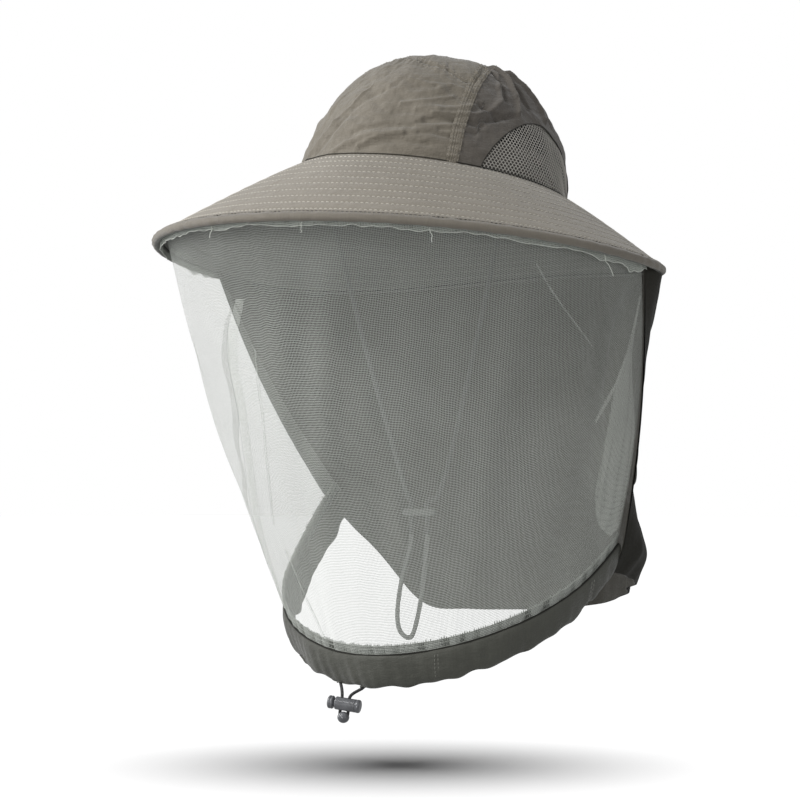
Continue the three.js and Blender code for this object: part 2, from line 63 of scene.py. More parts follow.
# The cut sizes of the net, the cape and the hem sleeve, for their folds and their weave.
NET_LONG, NET_TALL = 520, 290
CAPE_LONG, CAPE_TALL = 460, 260
HEM_LONG = 440
CORD_RADIUS = 1.15
CORD_EXITS = (-1.5 * DEG, 8.5 * DEG)
LOCK_CENTRE = (7.5, -102.5, -374.5)
LOCK_TURN, LOCK_DIP = 27 * DEG, 8 * DEG
LOCK_RADIUS, LOCK_LENGTH, LOCK_TRAVEL = 4.7, 18.5, 1.2
STRAND_SPACING, BEAD_RADIUS, BEAD_DROP = 6.0, 4.3, 9.4
STRAP_WIDTH, STRAP_THICK = 3.6, 1.4
SLIDER_WIDTH, SLIDER_HIGH, SLIDER_DROP, SLIDER_SHIFT, SLIDER_TRAVEL = 27, 5, 238, 3, 12

# ---- camera, light and floor ----------------------------------------

VIEW_AZIMUTH, VIEW_RISE, VIEW_DISTANCE, LENS = 43.74 * DEG, -2.007 * DEG, 2.2, 132.04
VIEW_TARGET = Vector((-0.0354, -0.0011, -0.1541))
FLOOR = -0.428
FLOOR_HALF, FLOOR_GREY, FLOOR_SUN = 30, 0.16, 19.5
SHADE_HEIGHT, SHADE_ACROSS, SHADE_DEEP, SHADE_SIDES = 2.4, 0.120, 0.150, 64
SHADE_SHIFT, SHADOW_SOFT = 0.01, 0.13
WORLD_LIGHT = 0.42


def turns(count):
    """Evenly spaced angles once round a circle."""
    return np.arange(count) * 2 * math.pi / count


def aim(obj, target):
    obj.rotation_euler = (Vector(target) - obj.location).to_track_quat("-Z", "Y").to_euler()


def add_camera():
    data = bpy.data.cameras.new("camera")
    data.lens = LENS
    data.sensor_width = 36
    camera = bpy.data.objects.new("camera", data)
    away = Vector(
        (
            math.sin(VIEW_AZIMUTH) * math.cos(VIEW_RISE),
            -math.cos(VIEW_AZIMUTH) * math.cos(VIEW_RISE),
            math.sin(VIEW_RISE),
        )
    )
    camera.location = VIEW_TARGET + away * VIEW_DISTANCE
    aim(camera, VIEW_TARGET)
    bpy.context.scene.collection.objects.link(camera)
    bpy.context.scene.camera = camera


def add_area(name, place, target, size, watts):
    data = bpy.data.lights.new(name, "AREA")
    data.shape = "DISK"
    data.size = size
    data.energy = watts
    lamp = bpy.data.objects.new(name, data)
    lamp.location = place
    aim(lamp, target)
    bpy.context.scene.collection.objects.link(lamp)
    return lamp


def from_view(right, toward, up):
    """A point measured from the target along the camera's right, toward the camera, and up."""
    across = Vector((math.cos(VIEW_AZIMUTH), math.sin(VIEW_AZIMUTH), 0))
    near = Vector((math.sin(VIEW_AZIMUTH), -math.cos(VIEW_AZIMUTH), 0))
    return VIEW_TARGET + across * right + near * toward + Vector((0, 0, up))


def add_lights():
    lamps = [
        add_area("key", from_view(-1.5, 1.0, 1.5), (0, 0, -0.1), 1.1, 32),
        add_area("fill", from_view(1.6, 1.9, 0.4), (0, 0, -0.15), 1.6, 6),
        add_area("side", from_view(-1.7, -0.3, 0.5), (0, 0, 0), 0.9, 16),
        add_area("low", from_view(-0.7, 1.5, -0.2), (0, 0, -0.3), 0.8, 9),
    ]
    world = bpy.data.worlds.new("studio")
    bpy.context.scene.world = world
    world.use_nodes = True
    tree = world.node_tree
    tree.nodes.clear()
    out = tree.nodes.new("ShaderNodeOutputWorld")
    seen = tree.nodes.new("ShaderNodeBackground")
    seen.inputs["Color"].default_value = (1, 1, 1, 1)
    seen.inputs["Strength"].default_value = 1.0
    lit = tree.nodes.new("ShaderNodeBackground")
    lit.inputs["Color"].default_value = (0.98, 0.99, 1, 1)
    lit.inputs["Strength"].default_value = WORLD_LIGHT
    path = tree.nodes.new("ShaderNodeLightPath")
    mixed = tree.nodes.new("ShaderNodeMixShader")
    tree.links.new(path.outputs["Is Camera Ray"], mixed.inputs["Fac"])
    tree.links.new(lit.outputs[0], mixed.inputs[1])
    tree.links.new(seen.outputs[0], mixed.inputs[2])
    tree.links.new(mixed.outputs[0], out.inputs["Surface"])
    return lamps


def add_floor(lamps):
    """A white floor, lit by a lamp of its own from straight above."""
    mesh = bpy.data.meshes.new("floor")
    corners = [(x * FLOOR_HALF, y * FLOOR_HALF, FLOOR) for x, y in ((-1, -1), (1, -1), (1, 1), (-1, 1))]
    mesh.from_pydata(corners, [], [(0, 1, 2, 3)])
    floor = bpy.data.objects.new("floor", mesh)
    bpy.context.scene.collection.objects.link(floor)
    material = bpy.data.materials.new("floor")
    material.use_nodes = True
    shader = material.node_tree.nodes["Principled BSDF"]
    shader.inputs["Base Color"].default_value = (FLOOR_GREY, FLOOR_GREY, FLOOR_GREY, 1)
    shader.inputs["Roughness"].default_value = 1
    shader.inputs["Specular IOR Level"].default_value = 0
    mesh.materials.append(material)
    floor.visible_diffuse = False
    floor.visible_glossy = False
    only_floor = bpy.data.collections.new("only_floor")
    only_floor.objects.link(floor)
    not_floor = bpy.data.collections.new("not_floor")
    not_floor.objects.link(floor)
    not_floor.collection_objects[0].light_linking.link_state = "EXCLUDE"
    for lamp in lamps:
        lamp.light_linking.receiver_collection = not_floor
    data = bpy.data.lights.new("floor_lamp", "SUN")
    data.energy = FLOOR_SUN
    data.angle = 2 * math.atan(SHADOW_SOFT / SHADE_HEIGHT)
    lamp = bpy.data.objects.new("floor_lamp", data)
    bpy.context.scene.collection.objects.link(lamp)
    lamp.light_linking.receiver_collection = only_floor
    lamp.light_linking.blocker_collection = add_shade()


def add_shade():
    """An oval card high above the hat. Only the floor's lamp is held back by it: the soft shadow."""
    middle = Vector((VIEW_TARGET.x - SHADE_SHIFT, VIEW_TARGET.y + SHADE_SHIFT, FLOOR + SHADE_HEIGHT))
    rim = [
        middle + from_view(SHADE_ACROSS * math.cos(t), SHADE_DEEP * math.sin(t), 0) - VIEW_TARGET
        for t in turns(SHADE_SIDES)
    ]
    mesh = bpy.data.meshes.new("floor_shade")
    mesh.from_pydata(rim, [], [tuple(range(SHADE_SIDES))])
    shade = bpy.data.objects.new("floor_shade", mesh)
    bpy.context.scene.collection.objects.link(shade)
    for kind in ("camera", "diffuse", "glossy", "transmission"):
        setattr(shade, "visible_" + kind, False)
    blockers = bpy.data.collections.new("floor_shade")
    blockers.objects.link(shade)
    return blockers


add_camera()
add_floor(add_lights())
bpy.context.scene.view_settings.view_transform = "Standard"

# ---- shapes of the hat and the veil ----------------------------------------


def mix(a, b, share):
    return a + (b - a) * share


def around(radius_x, radius_y, angle, z):
    parts = np.broadcast_arrays(radius_x * np.sin(angle), -radius_y * np.cos(angle), z)
    return np.stack(parts, -1).astype(float)


def tip_back(points):
    """From the hat's own level frame to the row frame."""
    c, s = math.cos(HAT_TILT), math.sin(HAT_TILT)
    x, y, z = points[..., 0], points[..., 1], points[..., 2]
    return np.stack([x, y * c + z * s, z * c - y * s], -1)


def ripples(x, y, size, seed, heading=0.0, spread=math.pi, count=6):
    """Smooth random waves, about -1 to 1, that run across the heading."""
    rng = np.random.default_rng(seed)
    total = 0.0
    for _ in range(count):
        way = heading + spread * rng.uniform(-0.5, 0.5)
        wave = size * rng.uniform(0.7, 1.5)
        phase = rng.uniform(0, 2 * math.pi)
        total = total + np.sin(2 * math.pi * (x * math.cos(way) + y * math.sin(way)) / wave + phase)
    return total / math.sqrt(count)


def ridge(x, y, run, height, width, scale_x=1.0, scale_y=1.0):
    """A fold along a polyline of (x, y) points: its height falls off with distance from the run."""
    best = np.full(np.broadcast(x, y).shape, 1e9)
    line = [(a * scale_x, b * scale_y) for a, b in run]
    for (ax, ay), (bx, by) in zip(line, line[1:]):
        dx, dy = bx - ax, by - ay
        share = np.clip(((x - ax) * dx + (y - ay) * dy) / (dx * dx + dy * dy), 0, 1)
        best = np.minimum(best, (x - ax - share * dx) ** 2 + (y - ay - share * dy) ** 2)
    return height * np.exp(-best / (width * width))


def on_crown(angle, height, inset=0.0):
    power = mix(1.4, 2.3, (1 - np.cos(angle)) / 2)
    rise = np.minimum(1, height / (CROWN_HEIGHT - inset))
    share = (1 - rise**power) ** 0.4
    return around((CROWN_WIDTH - inset) * share, (CROWN_LENGTH - inset) * share, angle, height)


def brim_edge(angle, outward=0.0, up=0.0):
    angle = np.asarray(angle, float)
    front = np.cos(angle) > 0
    end = np.where(front, DROP_FRONT, DROP_BACK)
    drop = DROP_SIDE + (end - DROP_SIDE) * np.cos(angle) ** 2
    length = np.where(front, BRIM_FRONT, BRIM_BACK)
    edge = around(BRIM_WIDTH, length, angle, 0.0)
    seam = around(CROWN_WIDTH, CROWN_LENGTH, angle, 0.0)
    slope = np.arctan(1.1 * drop / np.linalg.norm(edge - seam, axis=-1))
    across = outward * np.cos(slope) + up * np.sin(slope)
    lift = up * np.cos(slope) - outward * np.sin(slope) - drop
    return around(BRIM_WIDTH + across, length + across, angle, lift)


def on_brim(angle, share, lift=0.0):
    seam = around(CROWN_WIDTH + 0.3, CROWN_LENGTH + 0.3, angle, 0.0)
    edge = brim_edge(angle, -1.6)
    point = seam + (edge - seam) * np.asarray(share)[..., None]
    point[..., 2] = edge[..., 2] * share**1.1 + lift
    return point


def brim_seam(angle, outward):
    return tip_back(brim_edge(angle, outward, -BIND_HALF - 0.3))


def curve_between(a, b, into, out, t):
    """A cubic from a to b, with its slopes at both ends."""
    return (
        (2 * t**3 - 3 * t**2 + 1) * a
        + (t**3 - 2 * t**2 + t) * into
        + (3 * t**2 - 2 * t**3) * b
        + (t**3 - t**2) * out
    )


def height_along(heights):
    """A smooth curve through evenly spaced heights."""
    values = np.array([2 * heights[0] - heights[1], *heights, 2 * heights[-1] - heights[-2]], float)

    def at(share):
        run = np.clip(share, 0, 1) * (len(heights) - 1)
        i = np.minimum(run.astype(int), len(heights) - 2)
        t = run - i
        before, a, b, after = values[i], values[i + 1], values[i + 2], values[i + 3]
        return curve_between(a, b, (b - before) / 2, (after - a) / 2, t)

    return at


hem_height = height_along(HEM_HEIGHTS)
cape_height = height_along(CAPE_HEIGHTS)


def on_neck(angle, outward, z):
    radius = NECK_RADIUS + outward
    return around(radius, radius, angle, z) + np.array([0, NECK_BACK, 0])


def on_net(share, height, outward=0.0):
    share, height, outward = np.broadcast_arrays(*(np.asarray(v, float) for v in (share, height, outward)))
    turn = mix(*NET_TOP, share)
    top = brim_seam(turn, outward - 8)
    low = hem_height(share) + HEM_HIGH / 2 + 0.3
    bottom = on_neck(mix(*NET_BOTTOM, share), outward, low)
    swell = 8 * np.sin(math.pi * height)
    return bottom + (top - bottom) * height[..., None] + around(swell, swell, turn, 0.0)


def on_cape(share, height, outward=0.0):
    share, height, outward = np.broadcast_arrays(*(np.asarray(v, float) for v in (share, height, outward)))
    inside = mix(0.002, 1.006, share)
    top_turn = mix(NET_TOP[1], NET_TOP[0] + 2 * math.pi, inside)
    low_turn = mix(NET_BOTTOM[1], NET_BOTTOM[0] + 2 * math.pi, inside)
    freedom = 1 - (2 * inside - 1) ** 6
    top = brim_seam(top_turn, outward - mix(8, 2, freedom))
    bottom = on_neck(low_turn, outward + 3 * freedom, cape_height(share))
    swell = mix(8, -19, freedom) * np.sin(math.pi * height)
    swelling = around(swell, swell, (top_turn + low_turn) / 2, 0.0)
    return bottom + (top - bottom) * height[..., None] + swelling


def on_hem(share, outward=0.0, up=0.0):
    lean = HEM_LEAN * (up / HEM_HIGH - 0.5)
    return on_neck(mix(*NET_BOTTOM, share), outward + lean, hem_height(share) + up)


def in_lock(x, y, z):
    """From the cord lock's own frame, x along its barrel, to the row frame."""
    c, s = math.cos(LOCK_DIP), math.sin(LOCK_DIP)
    x, z = x * c + z * s, z * c - x * s
    c, s = math.cos(LOCK_TURN), math.sin(LOCK_TURN)
    return np.stack([x * c - y * s, x * s + y * c, z + 0 * x], -1) + np.array(LOCK_CENTRE)


# ---- mesh making ----------------------------------------


def add_mesh(name, points, faces, uvs=None):
    mesh = bpy.data.meshes.new(name)
    mesh.from_pydata((np.asarray(points).reshape(-1, 3) * MM).tolist(), [], faces)
    if uvs is not None:
        layer = mesh.uv_layers.new(name="cloth")
        order = np.empty(len(mesh.loops), np.int32)
        mesh.loops.foreach_get("vertex_index", order)
        layer.data.foreach_set("uv", (np.asarray(uvs).reshape(-1, 2)[order] * MM).ravel())
    mesh.polygons.foreach_set("use_smooth", [True] * len(mesh.polygons))
    obj = bpy.data.objects.new(name, mesh)
    bpy.context.scene.collection.objects.link(obj)
    return obj


def grid_faces(columns, rows, closed=False, first=0):
    faces = []
    for i in range(columns if closed else columns - 1):
        for j in range(rows - 1):
            a = first + i * rows + j
            b = first + ((i + 1) % columns) * rows + j
            faces.append((a, b, b + 1, a + 1))
    return faces


def ring_faces(rings, sides, first=0, closed=False, inward=False):
    """The faces of a tube made of rings of points, with a cap at each open end."""
    faces = []
    for i in range(rings if closed else rings - 1):
        a, b = first + i * sides, first + (i + 1) % rings * sides
        for j in range(sides):
            k = (j + 1) % sides
            faces.append((a + j, b + j, b + k, a + k) if inward else (a + j, a + k, b + k, b + j))
    if not closed:
        ends = [tuple(first + j for j in range(sides))]
        ends.append(tuple(first + (rings - 1) * sides + j for j in range(sides)))
        flipped = 1 if inward else 0
        ends[flipped] = ends[flipped][::-1]
        faces += ends
    return faces


def run_lengths(points, axis=0):
    """How far along the surface or path each point is."""
    steps = np.linalg.norm(np.diff(points, axis=axis), axis=-1)
    pad = [(0, 0)] * (points.ndim - 1)
    pad[axis] = (1, 0)
    return np.cumsum(np.pad(steps, pad), axis=axis)


def grid(name, points, closed=False):
    """A quad surface over points[column, row], with UVs in true millimetres."""
    columns, rows = points.shape[:2]
    along = run_lengths(points, 0)
    middle = along[:, rows // 2][:, None] + 0 * along
    uvs = np.stack([middle, run_lengths(points, 1)], -1)
    return add_mesh(name, points, grid_faces(columns, rows, closed), uvs)


def normals_of(points):
    across = np.gradient(points, axis=0)
    upward = np.gradient(points, axis=1)
    normal = np.cross(across, upward)
    return normal / np.maximum(np.linalg.norm(normal, axis=-1, keepdims=True), 1e-9)


def thicken(obj, millimetres):
    cloth = obj.modifiers.new("cloth", "SOLIDIFY")
    cloth.thickness = millimetres * MM
    cloth.offset = -1
    return obj


def frames_along(path):
    """Two directions square to a path, turned along it as little as possible."""
    tangent = np.gradient(path, axis=0)
    tangent /= np.maximum(np.linalg.norm(tangent, axis=-1, keepdims=True), 1e-9)
    side = np.zeros_like(path)
    start = np.array([0, 0, 1.0]) if abs(tangent[0][2]) < 0.9 else np.array([1.0, 0, 0])
    for i, way in enumerate(tangent):
        start = start - way * start.dot(way)
        start = start / np.linalg.norm(start)
        side[i] = start
    return side, np.cross(tangent, side)


def tube_parts(path, radius, sides, first=0, closed=False):
    """Points and faces of a round tube."""
    path = np.asarray(path, float)
    side, other = frames_along(path)
    turn = turns(sides)
    ring = np.cos(turn)[None, :, None] * side[:, None] + np.sin(turn)[None, :, None] * other[:, None]
    points = path[:, None] + ring * radius
    return points.reshape(-1, 3), ring_faces(len(path), sides, first, closed)


def add_tubes(name, paths, radius, sides=8, closed=False):
    points, faces = [], []
    for path in paths:
        made, more = tube_parts(path, radius, sides, sum(len(p) for p in points), closed)
        points.append(made)
        faces += more
    return add_mesh(name, np.concatenate(points), faces)


def resample(path, spacing):
    path = np.asarray(path, float)
    length = run_lengths(path)
    count = max(2, int(round(length[-1] / spacing)) + 1)
    at = np.linspace(0, length[-1], count)
    return np.stack([np.interp(at, length, path[:, k]) for k in range(3)], -1)


def smooth_path(points, steps):
    """A smooth curve through points, with so many steps between each two."""
    p = np.asarray(points, float)
    p = np.concatenate([[2 * p[0] - p[1]], p, [2 * p[-1] - p[-2]]])
    out = []
    for i in range(1, len(p) - 2):
        t = np.linspace(0, 1, steps, endpoint=False)[:, None]
        into, leave = (p[i + 1] - p[i - 1]) / 2, (p[i + 2] - p[i]) / 2
        out.append(curve_between(p[i], p[i + 1], into, leave, t))
    return np.concatenate(out + [p[-2:-1]])


STITCH_SIDES = 5

# The rings of one stitch: how far along it, its share of the full radius, and its lift.
STITCH_SHAPE = [(-0.5, 0.25, -0.25), (-0.3, 0.9, 0.25), (0.0, 1.0, 0.45)]
STITCH_SHAPE += [(0.3, 0.9, 0.25), (0.5, 0.25, -0.25)]


def add_stitches(name, rows, length, pitch, radius):
    """Short raised stitches along rows of points; each row gives its points and its normals."""
    points, faces, count = [], [], 0
    turn = turns(STITCH_SIDES)
    for path, normals in rows:
        reach = run_lengths(path)
        at = lambda run, values: np.array([np.interp(run, reach, values[:, k]) for k in range(3)])
        for middle in np.arange(pitch / 2, reach[-1], pitch):
            here, up = at(middle, path), at(middle, normals)
            ahead, back = at(middle + 0.5, path), at(middle - 0.5, path)
            along = (ahead - back) / max(np.linalg.norm(ahead - back), 1e-9)
            side = np.cross(along, up)
            for place, size, lift in STITCH_SHAPE:
                centre = here + along * place * length + up * lift * radius
                points.append(
                    centre
                    + radius * size * (np.cos(turn)[:, None] * side + np.sin(turn)[:, None] * up)
                )
            faces += ring_faces(len(STITCH_SHAPE), STITCH_SIDES, count)
            count += len(STITCH_SHAPE) * STITCH_SIDES
    return add_mesh(name, np.concatenate(points), faces)


# ---- materials ----------------------------------------


class Nodes:
    """A short way to write a node tree."""

    def __init__(self, name):
        self.material = bpy.data.materials.new(name)
        self.material.use_nodes = True
        self.tree = self.material.node_tree
        self.tree.nodes.clear()
        self.out = self.tree.nodes.new("ShaderNodeOutputMaterial")

    def add(self, kind, settings=None, **inputs):
        node = self.tree.nodes.new("ShaderNode" + kind)
        for key, value in (settings or {}).items():
            setattr(node, key, value)
        for key, value in inputs.items():
            numbered = key[0] == "i" and key[1:].isdigit()
            self.feed(node.inputs[int(key[1:]) if numbered else key.replace("_", " ")], value)
        return node

    def feed(self, socket, value):
        if isinstance(value, bpy.types.NodeSocket):
            self.tree.links.new(value, socket)
        else:
            socket.default_value = value

    def math(self, operation, a, b=0.0):
        return self.add("Math", {"operation": operation}, i0=a, i1=b).outputs[0]

    def span(self, value, low, high, to_low=0.0, to_high=1.0):
        ends = {"From_Min": low, "From_Max": high, "To_Min": to_low, "To_Max": to_high}
        return self.add("MapRange", None, Value=value, **ends).outputs[0]

    def blend(self, share, a, b):
        return self.add("Mix", {"data_type": "RGBA"}, i0=share, i6=(*a, 1), i7=(*b, 1)).outputs[2]

    def noise(self, vector, scale, detail=3.0, roughness=0.55):
        settings = {"Vector": vector, "Scale": scale, "Detail": detail, "Roughness": roughness}
        return self.add("TexNoise", None, **settings).outputs["Fac"]

    def stretched(self, vector, scale):
        return self.add("Mapping", None, Vector=vector, Scale=scale).outputs[0]

    def bump(self, strength, millimetres, height, **inputs):
        inputs.update(Strength=strength, Distance=millimetres * MM, Height=height)
        return self.add("Bump", None, **inputs).outputs[0]

    def shade(self, **inputs):
        shader = self.add("BsdfPrincipled", None, **inputs)
        self.tree.links.new(shader.outputs[0], self.out.inputs["Surface"])
        return self.material


def threads(nodes, uv, *pitches):
    """Two waves in step with the warp and the weft, each from -1 to 1."""
    split = nodes.add("SeparateXYZ", None, Vector=uv)
    waves = []
    for socket, pitch in zip(split.outputs, pitches):
        waves.append(nodes.math("COSINE", nodes.math("MULTIPLY", socket, 2 * math.pi / (pitch * MM))))
    return waves


SLUB = 0.35  # the share of a cloth's tone that uneven threads make
WEAVE_DEPTH, CRUMPLE_DEPTH = 0.06, 4.0


def cloth(name, dark, light, pitch, roughness, sheen, crumple=0.5, gloss=0.35):
    """Woven cloth: warp and weft, uneven threads, soft dirt-like shading and fine crumples."""
    n = Nodes(name)
    uv = n.add("UVMap").outputs[0]
    place = n.add("TexCoord").outputs["Object"]
    warp, weft = threads(n, uv, pitch, pitch)
    over = n.math("MULTIPLY", warp, weft)
    patches = n.noise(place, 14, 4, 0.6)
    streaks = n.noise(n.stretched(uv, (900, 90, 1)), 1.0, 2, 0.5)
    cross = n.noise(n.stretched(uv, (90, 900, 1)), 1.0, 2, 0.5)
    tone = n.math("ADD", n.math("MULTIPLY", patches, 1 - SLUB), n.math("MULTIPLY", streaks, SLUB))
    tone = n.math("ADD", tone, n.math("MULTIPLY", over, 0.05))
    tone = n.math("ADD", tone, n.math("MULTIPLY", n.math("SUBTRACT", cross, 0.5), SLUB * 0.6))
    folds = n.noise(n.stretched(place, (1, 1, 2.2)), 38, 6, 0.62)
    return n.shade(
        Base_Color=n.blend(n.span(tone, 0.25, 0.75), dark, light),
        Roughness=n.span(patches, 0.3, 0.7, roughness - 0.08, roughness + 0.08),
        Normal=n.bump(crumple, CRUMPLE_DEPTH, folds, Normal=n.bump(0.6, WEAVE_DEPTH, over)),
        Sheen_Weight=sheen,
        Sheen_Roughness=0.45,
        Specular_IOR_Level=gloss,
    )


NET_PITCH = 1.05


def net_material(name, colour, cover, pale=0.0):
    """A fine net: threads along u and v, with open holes between them."""
    n = Nodes(name)
    uv = n.add("UVMap").outputs[0]
    place = n.add("TexCoord").outputs["Object"]
    wobble = n.add("TexNoise", None, Vector=place, Scale=60.0, Detail=1.0).outputs["Color"]
    small = n.add("VectorMath", {"operation": "SCALE"}, Vector=wobble, Scale=0.0012).outputs[0]
    bent = n.add("VectorMath", {"operation": "ADD"}, i0=uv, i1=small).outputs[0]
    warp, weft = threads(n, bent, NET_PITCH, NET_PITCH * 1.15)
    edge = math.cos(math.pi * cover)
    line = n.math("MAXIMUM", *(n.span(wave, edge - 0.25, edge + 0.25) for wave in (warp, weft)))
    dense = n.noise(place, 9, 3, 0.5)
    level = n.add("SeparateXYZ", None, Vector=place).outputs[2]
    # The net is made up to 1.5 times denser towards the bottom, so it shows lighter there.
    denser_low = n.span(level, -0.33, -0.10, 1.5, 1.0)
    alpha = n.math("MULTIPLY", line, n.span(dense, 0.3, 0.7, 0.82, 1.0))
    alpha = n.math("ADD", n.math("MULTIPLY", alpha, denser_low), pale)
    return n.shade(
        Base_Color=n.blend(n.span(dense, 0.3, 0.7), tuple(0.88 * c for c in colour), colour),
        Roughness=0.6,
        Alpha=n.math("MINIMUM", alpha, 1.0),
        Specular_IOR_Level=0.3,
        Sheen_Weight=0.2,
    )


def braid(name, dark, light, pitch):
    """Braided or knitted cord: slanted threads both ways."""
    n = Nodes(name)
    place = n.add("TexCoord").outputs["Object"]
    split = n.add("SeparateXYZ", None, Vector=place)
    flat = n.math("ADD", split.outputs[0], split.outputs[1])
    both_ways = []
    for operation in ("ADD", "SUBTRACT"):
        slanted = n.math(operation, flat, split.outputs[2])
        both_ways.append(n.math("SINE", n.math("MULTIPLY", slanted, 2 * math.pi / (pitch * MM))))
    weave = n.math("MULTIPLY", *both_ways)
    grain = n.noise(place, 900, 2)
    uneven = n.math("MULTIPLY", n.math("SUBTRACT", grain, 0.5), 0.5)
    return n.shade(
        Base_Color=n.blend(n.math("ADD", n.span(weave, -1, 1, 0.1, 0.8), uneven), dark, light),
        Roughness=n.span(grain, 0.3, 0.7, 0.5, 0.7),
        Normal=n.bump(0.8, 0.25, weave),
        Sheen_Weight=0.15,
    )


def plastic(name, colour, roughness):
    """Moulded plastic: a fine matt grain, rubbed smoother in patches."""
    n = Nodes(name)
    place = n.add("TexCoord").outputs["Object"]
    fine = n.noise(place, 1500, 2, 0.7)
    worn = n.noise(place, 120, 3, 0.6)
    return n.shade(
        Base_Color=n.blend(n.span(worn, 0.35, 0.75), colour, tuple(c * 1.9 + 0.012 for c in colour)),
        Roughness=n.span(worn, 0.3, 0.7, roughness - 0.1, roughness + 0.12),
        Normal=n.bump(0.5, 0.05, fine),
        Specular_IOR_Level=0.6,
    )


def steel(name):
    n = Nodes(name)
    place = n.add("TexCoord").outputs["Object"]
    drawn = n.noise(n.stretched(place, (1, 1, 12)), 300, 3)
    colour = n.blend(drawn, (0.45, 0.45, 0.46), (0.62, 0.62, 0.63))
    return n.shade(Base_Color=colour, Roughness=n.span(drawn, 0.3, 0.7, 0.25, 0.45), Metallic=1)


HAT_CLOTH = cloth("hat_cloth", (0.125, 0.109, 0.082), (0.220, 0.196, 0.158), 0.7, 0.66, 0.3, crumple=0.9)
# A darker copy of the crown cloth for the rear panel: painted shade for the crown's shaded back and right
# side.
SHADED_REAR_CLOTH = cloth(
    "hat_cloth_rear_painted_shade", (0.066, 0.057, 0.048), (0.142, 0.127, 0.108), 0.7, 0.66, 0.3, crumple=0.9
)
BRIM_CLOTH = cloth("brim_cloth", (0.195, 0.172, 0.137), (0.268, 0.240, 0.195), 0.7, 0.72, 0.3, crumple=0.3)
BIND_CLOTH = cloth(
    "binding_cloth", (0.140, 0.124, 0.100), (0.200, 0.180, 0.148), 0.7, 0.70, 0.3, crumple=0.4
)
UNDER_CLOTH = cloth(
    "underbrim_cloth", (0.080, 0.080, 0.069), (0.115, 0.116, 0.102), 0.7, 0.72, 0.2, crumple=0.3
)
CAPE_CLOTH = cloth("cape_cloth", (0.050, 0.047, 0.038), (0.078, 0.074, 0.060), 0.6, 0.55, 0.2, crumple=0.6)
# The cape's outer face, much darker than its inside: partly the cape's own dark colour, partly painted
# shade for the shaded fold at its side.
CAPE_OUTSIDE_SHADED = cloth(
    "cape_outside_painted_shade", (0.012, 0.0115, 0.0085), (0.032, 0.030, 0.023), 0.6, 0.6, 0.0, gloss=0.15
)
HEM_CLOTH = cloth("hem_cloth", (0.050, 0.051, 0.041), (0.080, 0.081, 0.067), 0.6, 0.6, 0.25, crumple=0.6)
LINING = cloth("lining", (0.10, 0.095, 0.085), (0.14, 0.13, 0.118), 1.0, 0.9, 0.1, crumple=0.2)
STITCH = cloth("stitch_thread", (0.48, 0.45, 0.39), (0.64, 0.61, 0.54), 0.5, 0.7, 0.2, crumple=0.1)
TAPE_STITCH = cloth("tape_thread", (0.25, 0.225, 0.185), (0.36, 0.33, 0.275), 0.5, 0.7, 0.2, crumple=0.1)
DARK_STITCH = cloth("dark_thread", (0.16, 0.16, 0.14), (0.24, 0.24, 0.21), 0.5, 0.7, 0.2, crumple=0.1)
NET = net_material("net", (0.66, 0.685, 0.635), 0.20)
NET_EDGE = net_material("net_edge", (0.48, 0.51, 0.46), 0.3, 0.12)
PALE_THREAD = cloth("pale_thread", (0.60, 0.63, 0.57), (0.74, 0.76, 0.70), 0.4, 0.7, 0.2, crumple=0.1)
OVERLOCK = cloth("overlock_thread", (0.20, 0.212, 0.19), (0.33, 0.345, 0.31), 0.4, 0.8, 0.2, crumple=0.2)
VENT_THREAD = braid("vent_thread", (0.52, 0.49, 0.44), (0.86, 0.83, 0.77), 0.8)
# A near-black sheet behind the vent mesh: painted shade for the dark inside of the crown.
VENT_SHADE_SHEET = cloth("vent_painted_shade", (0.006, 0.006, 0.005), (0.016, 0.015, 0.013), 0.9, 0.9, 0.0, crumple=0.1)
# Near-black lines laid along joints and folds below: painted shade in the creases.
SEAM_SHADE = cloth("seam_painted_shade", (0.012, 0.012, 0.010), (0.028, 0.027, 0.023), 0.5, 0.9, 0.0, crumple=0.1)
ELASTIC = braid("elastic", (0.006, 0.006, 0.006), (0.035, 0.035, 0.035), 0.9)
WEBBING = braid("strap_webbing", (0.11, 0.115, 0.105), (0.24, 0.245, 0.23), 1.1)
STRAND = braid("strap_strand", (0.045, 0.047, 0.042), (0.095, 0.098, 0.09), 1.1)
BLACK = plastic("black_plastic", (0.092, 0.094, 0.100), 0.2)
STEEL = steel("spring_steel")


def dress(obj, material, body=HAT, replaces=()):
    obj.data.materials.clear()
    obj.data.materials.append(material)
    if replaces:
        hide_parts(*replaces)
    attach(obj, body)
    return obj


def keep(node, material):
    """A CAD solid that stays as it is, in a better material."""
    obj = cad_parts[node]
    obj.data.materials.clear()
    obj.data.materials.append(material)


# ---- crown ----------------------------------------

DEGREE_RUN = 1.75  # millimetres of crown wall in one degree, for the folds below
FOLD_RISE, FOLD_SPREAD = 1.5, 0.85

# The side seams lean back as they rise: (height, degrees from the wearer's front).
SEAM_LEAN = [(0, 56), (28, 58), (48, 61), (63, 65), (68, 67)]

# The top panel's seam: (degrees, height). It drops to the side seams and follows them back up.
TOP_RUN = [(0, 91), (22, 88), (52, 78), (61, 70.5), (67, 68), (70, 74), (76, 82), (84, 88.5)]
TOP_RUN += [(96, 93), (120, 92), (150, 90), (180, 89)]

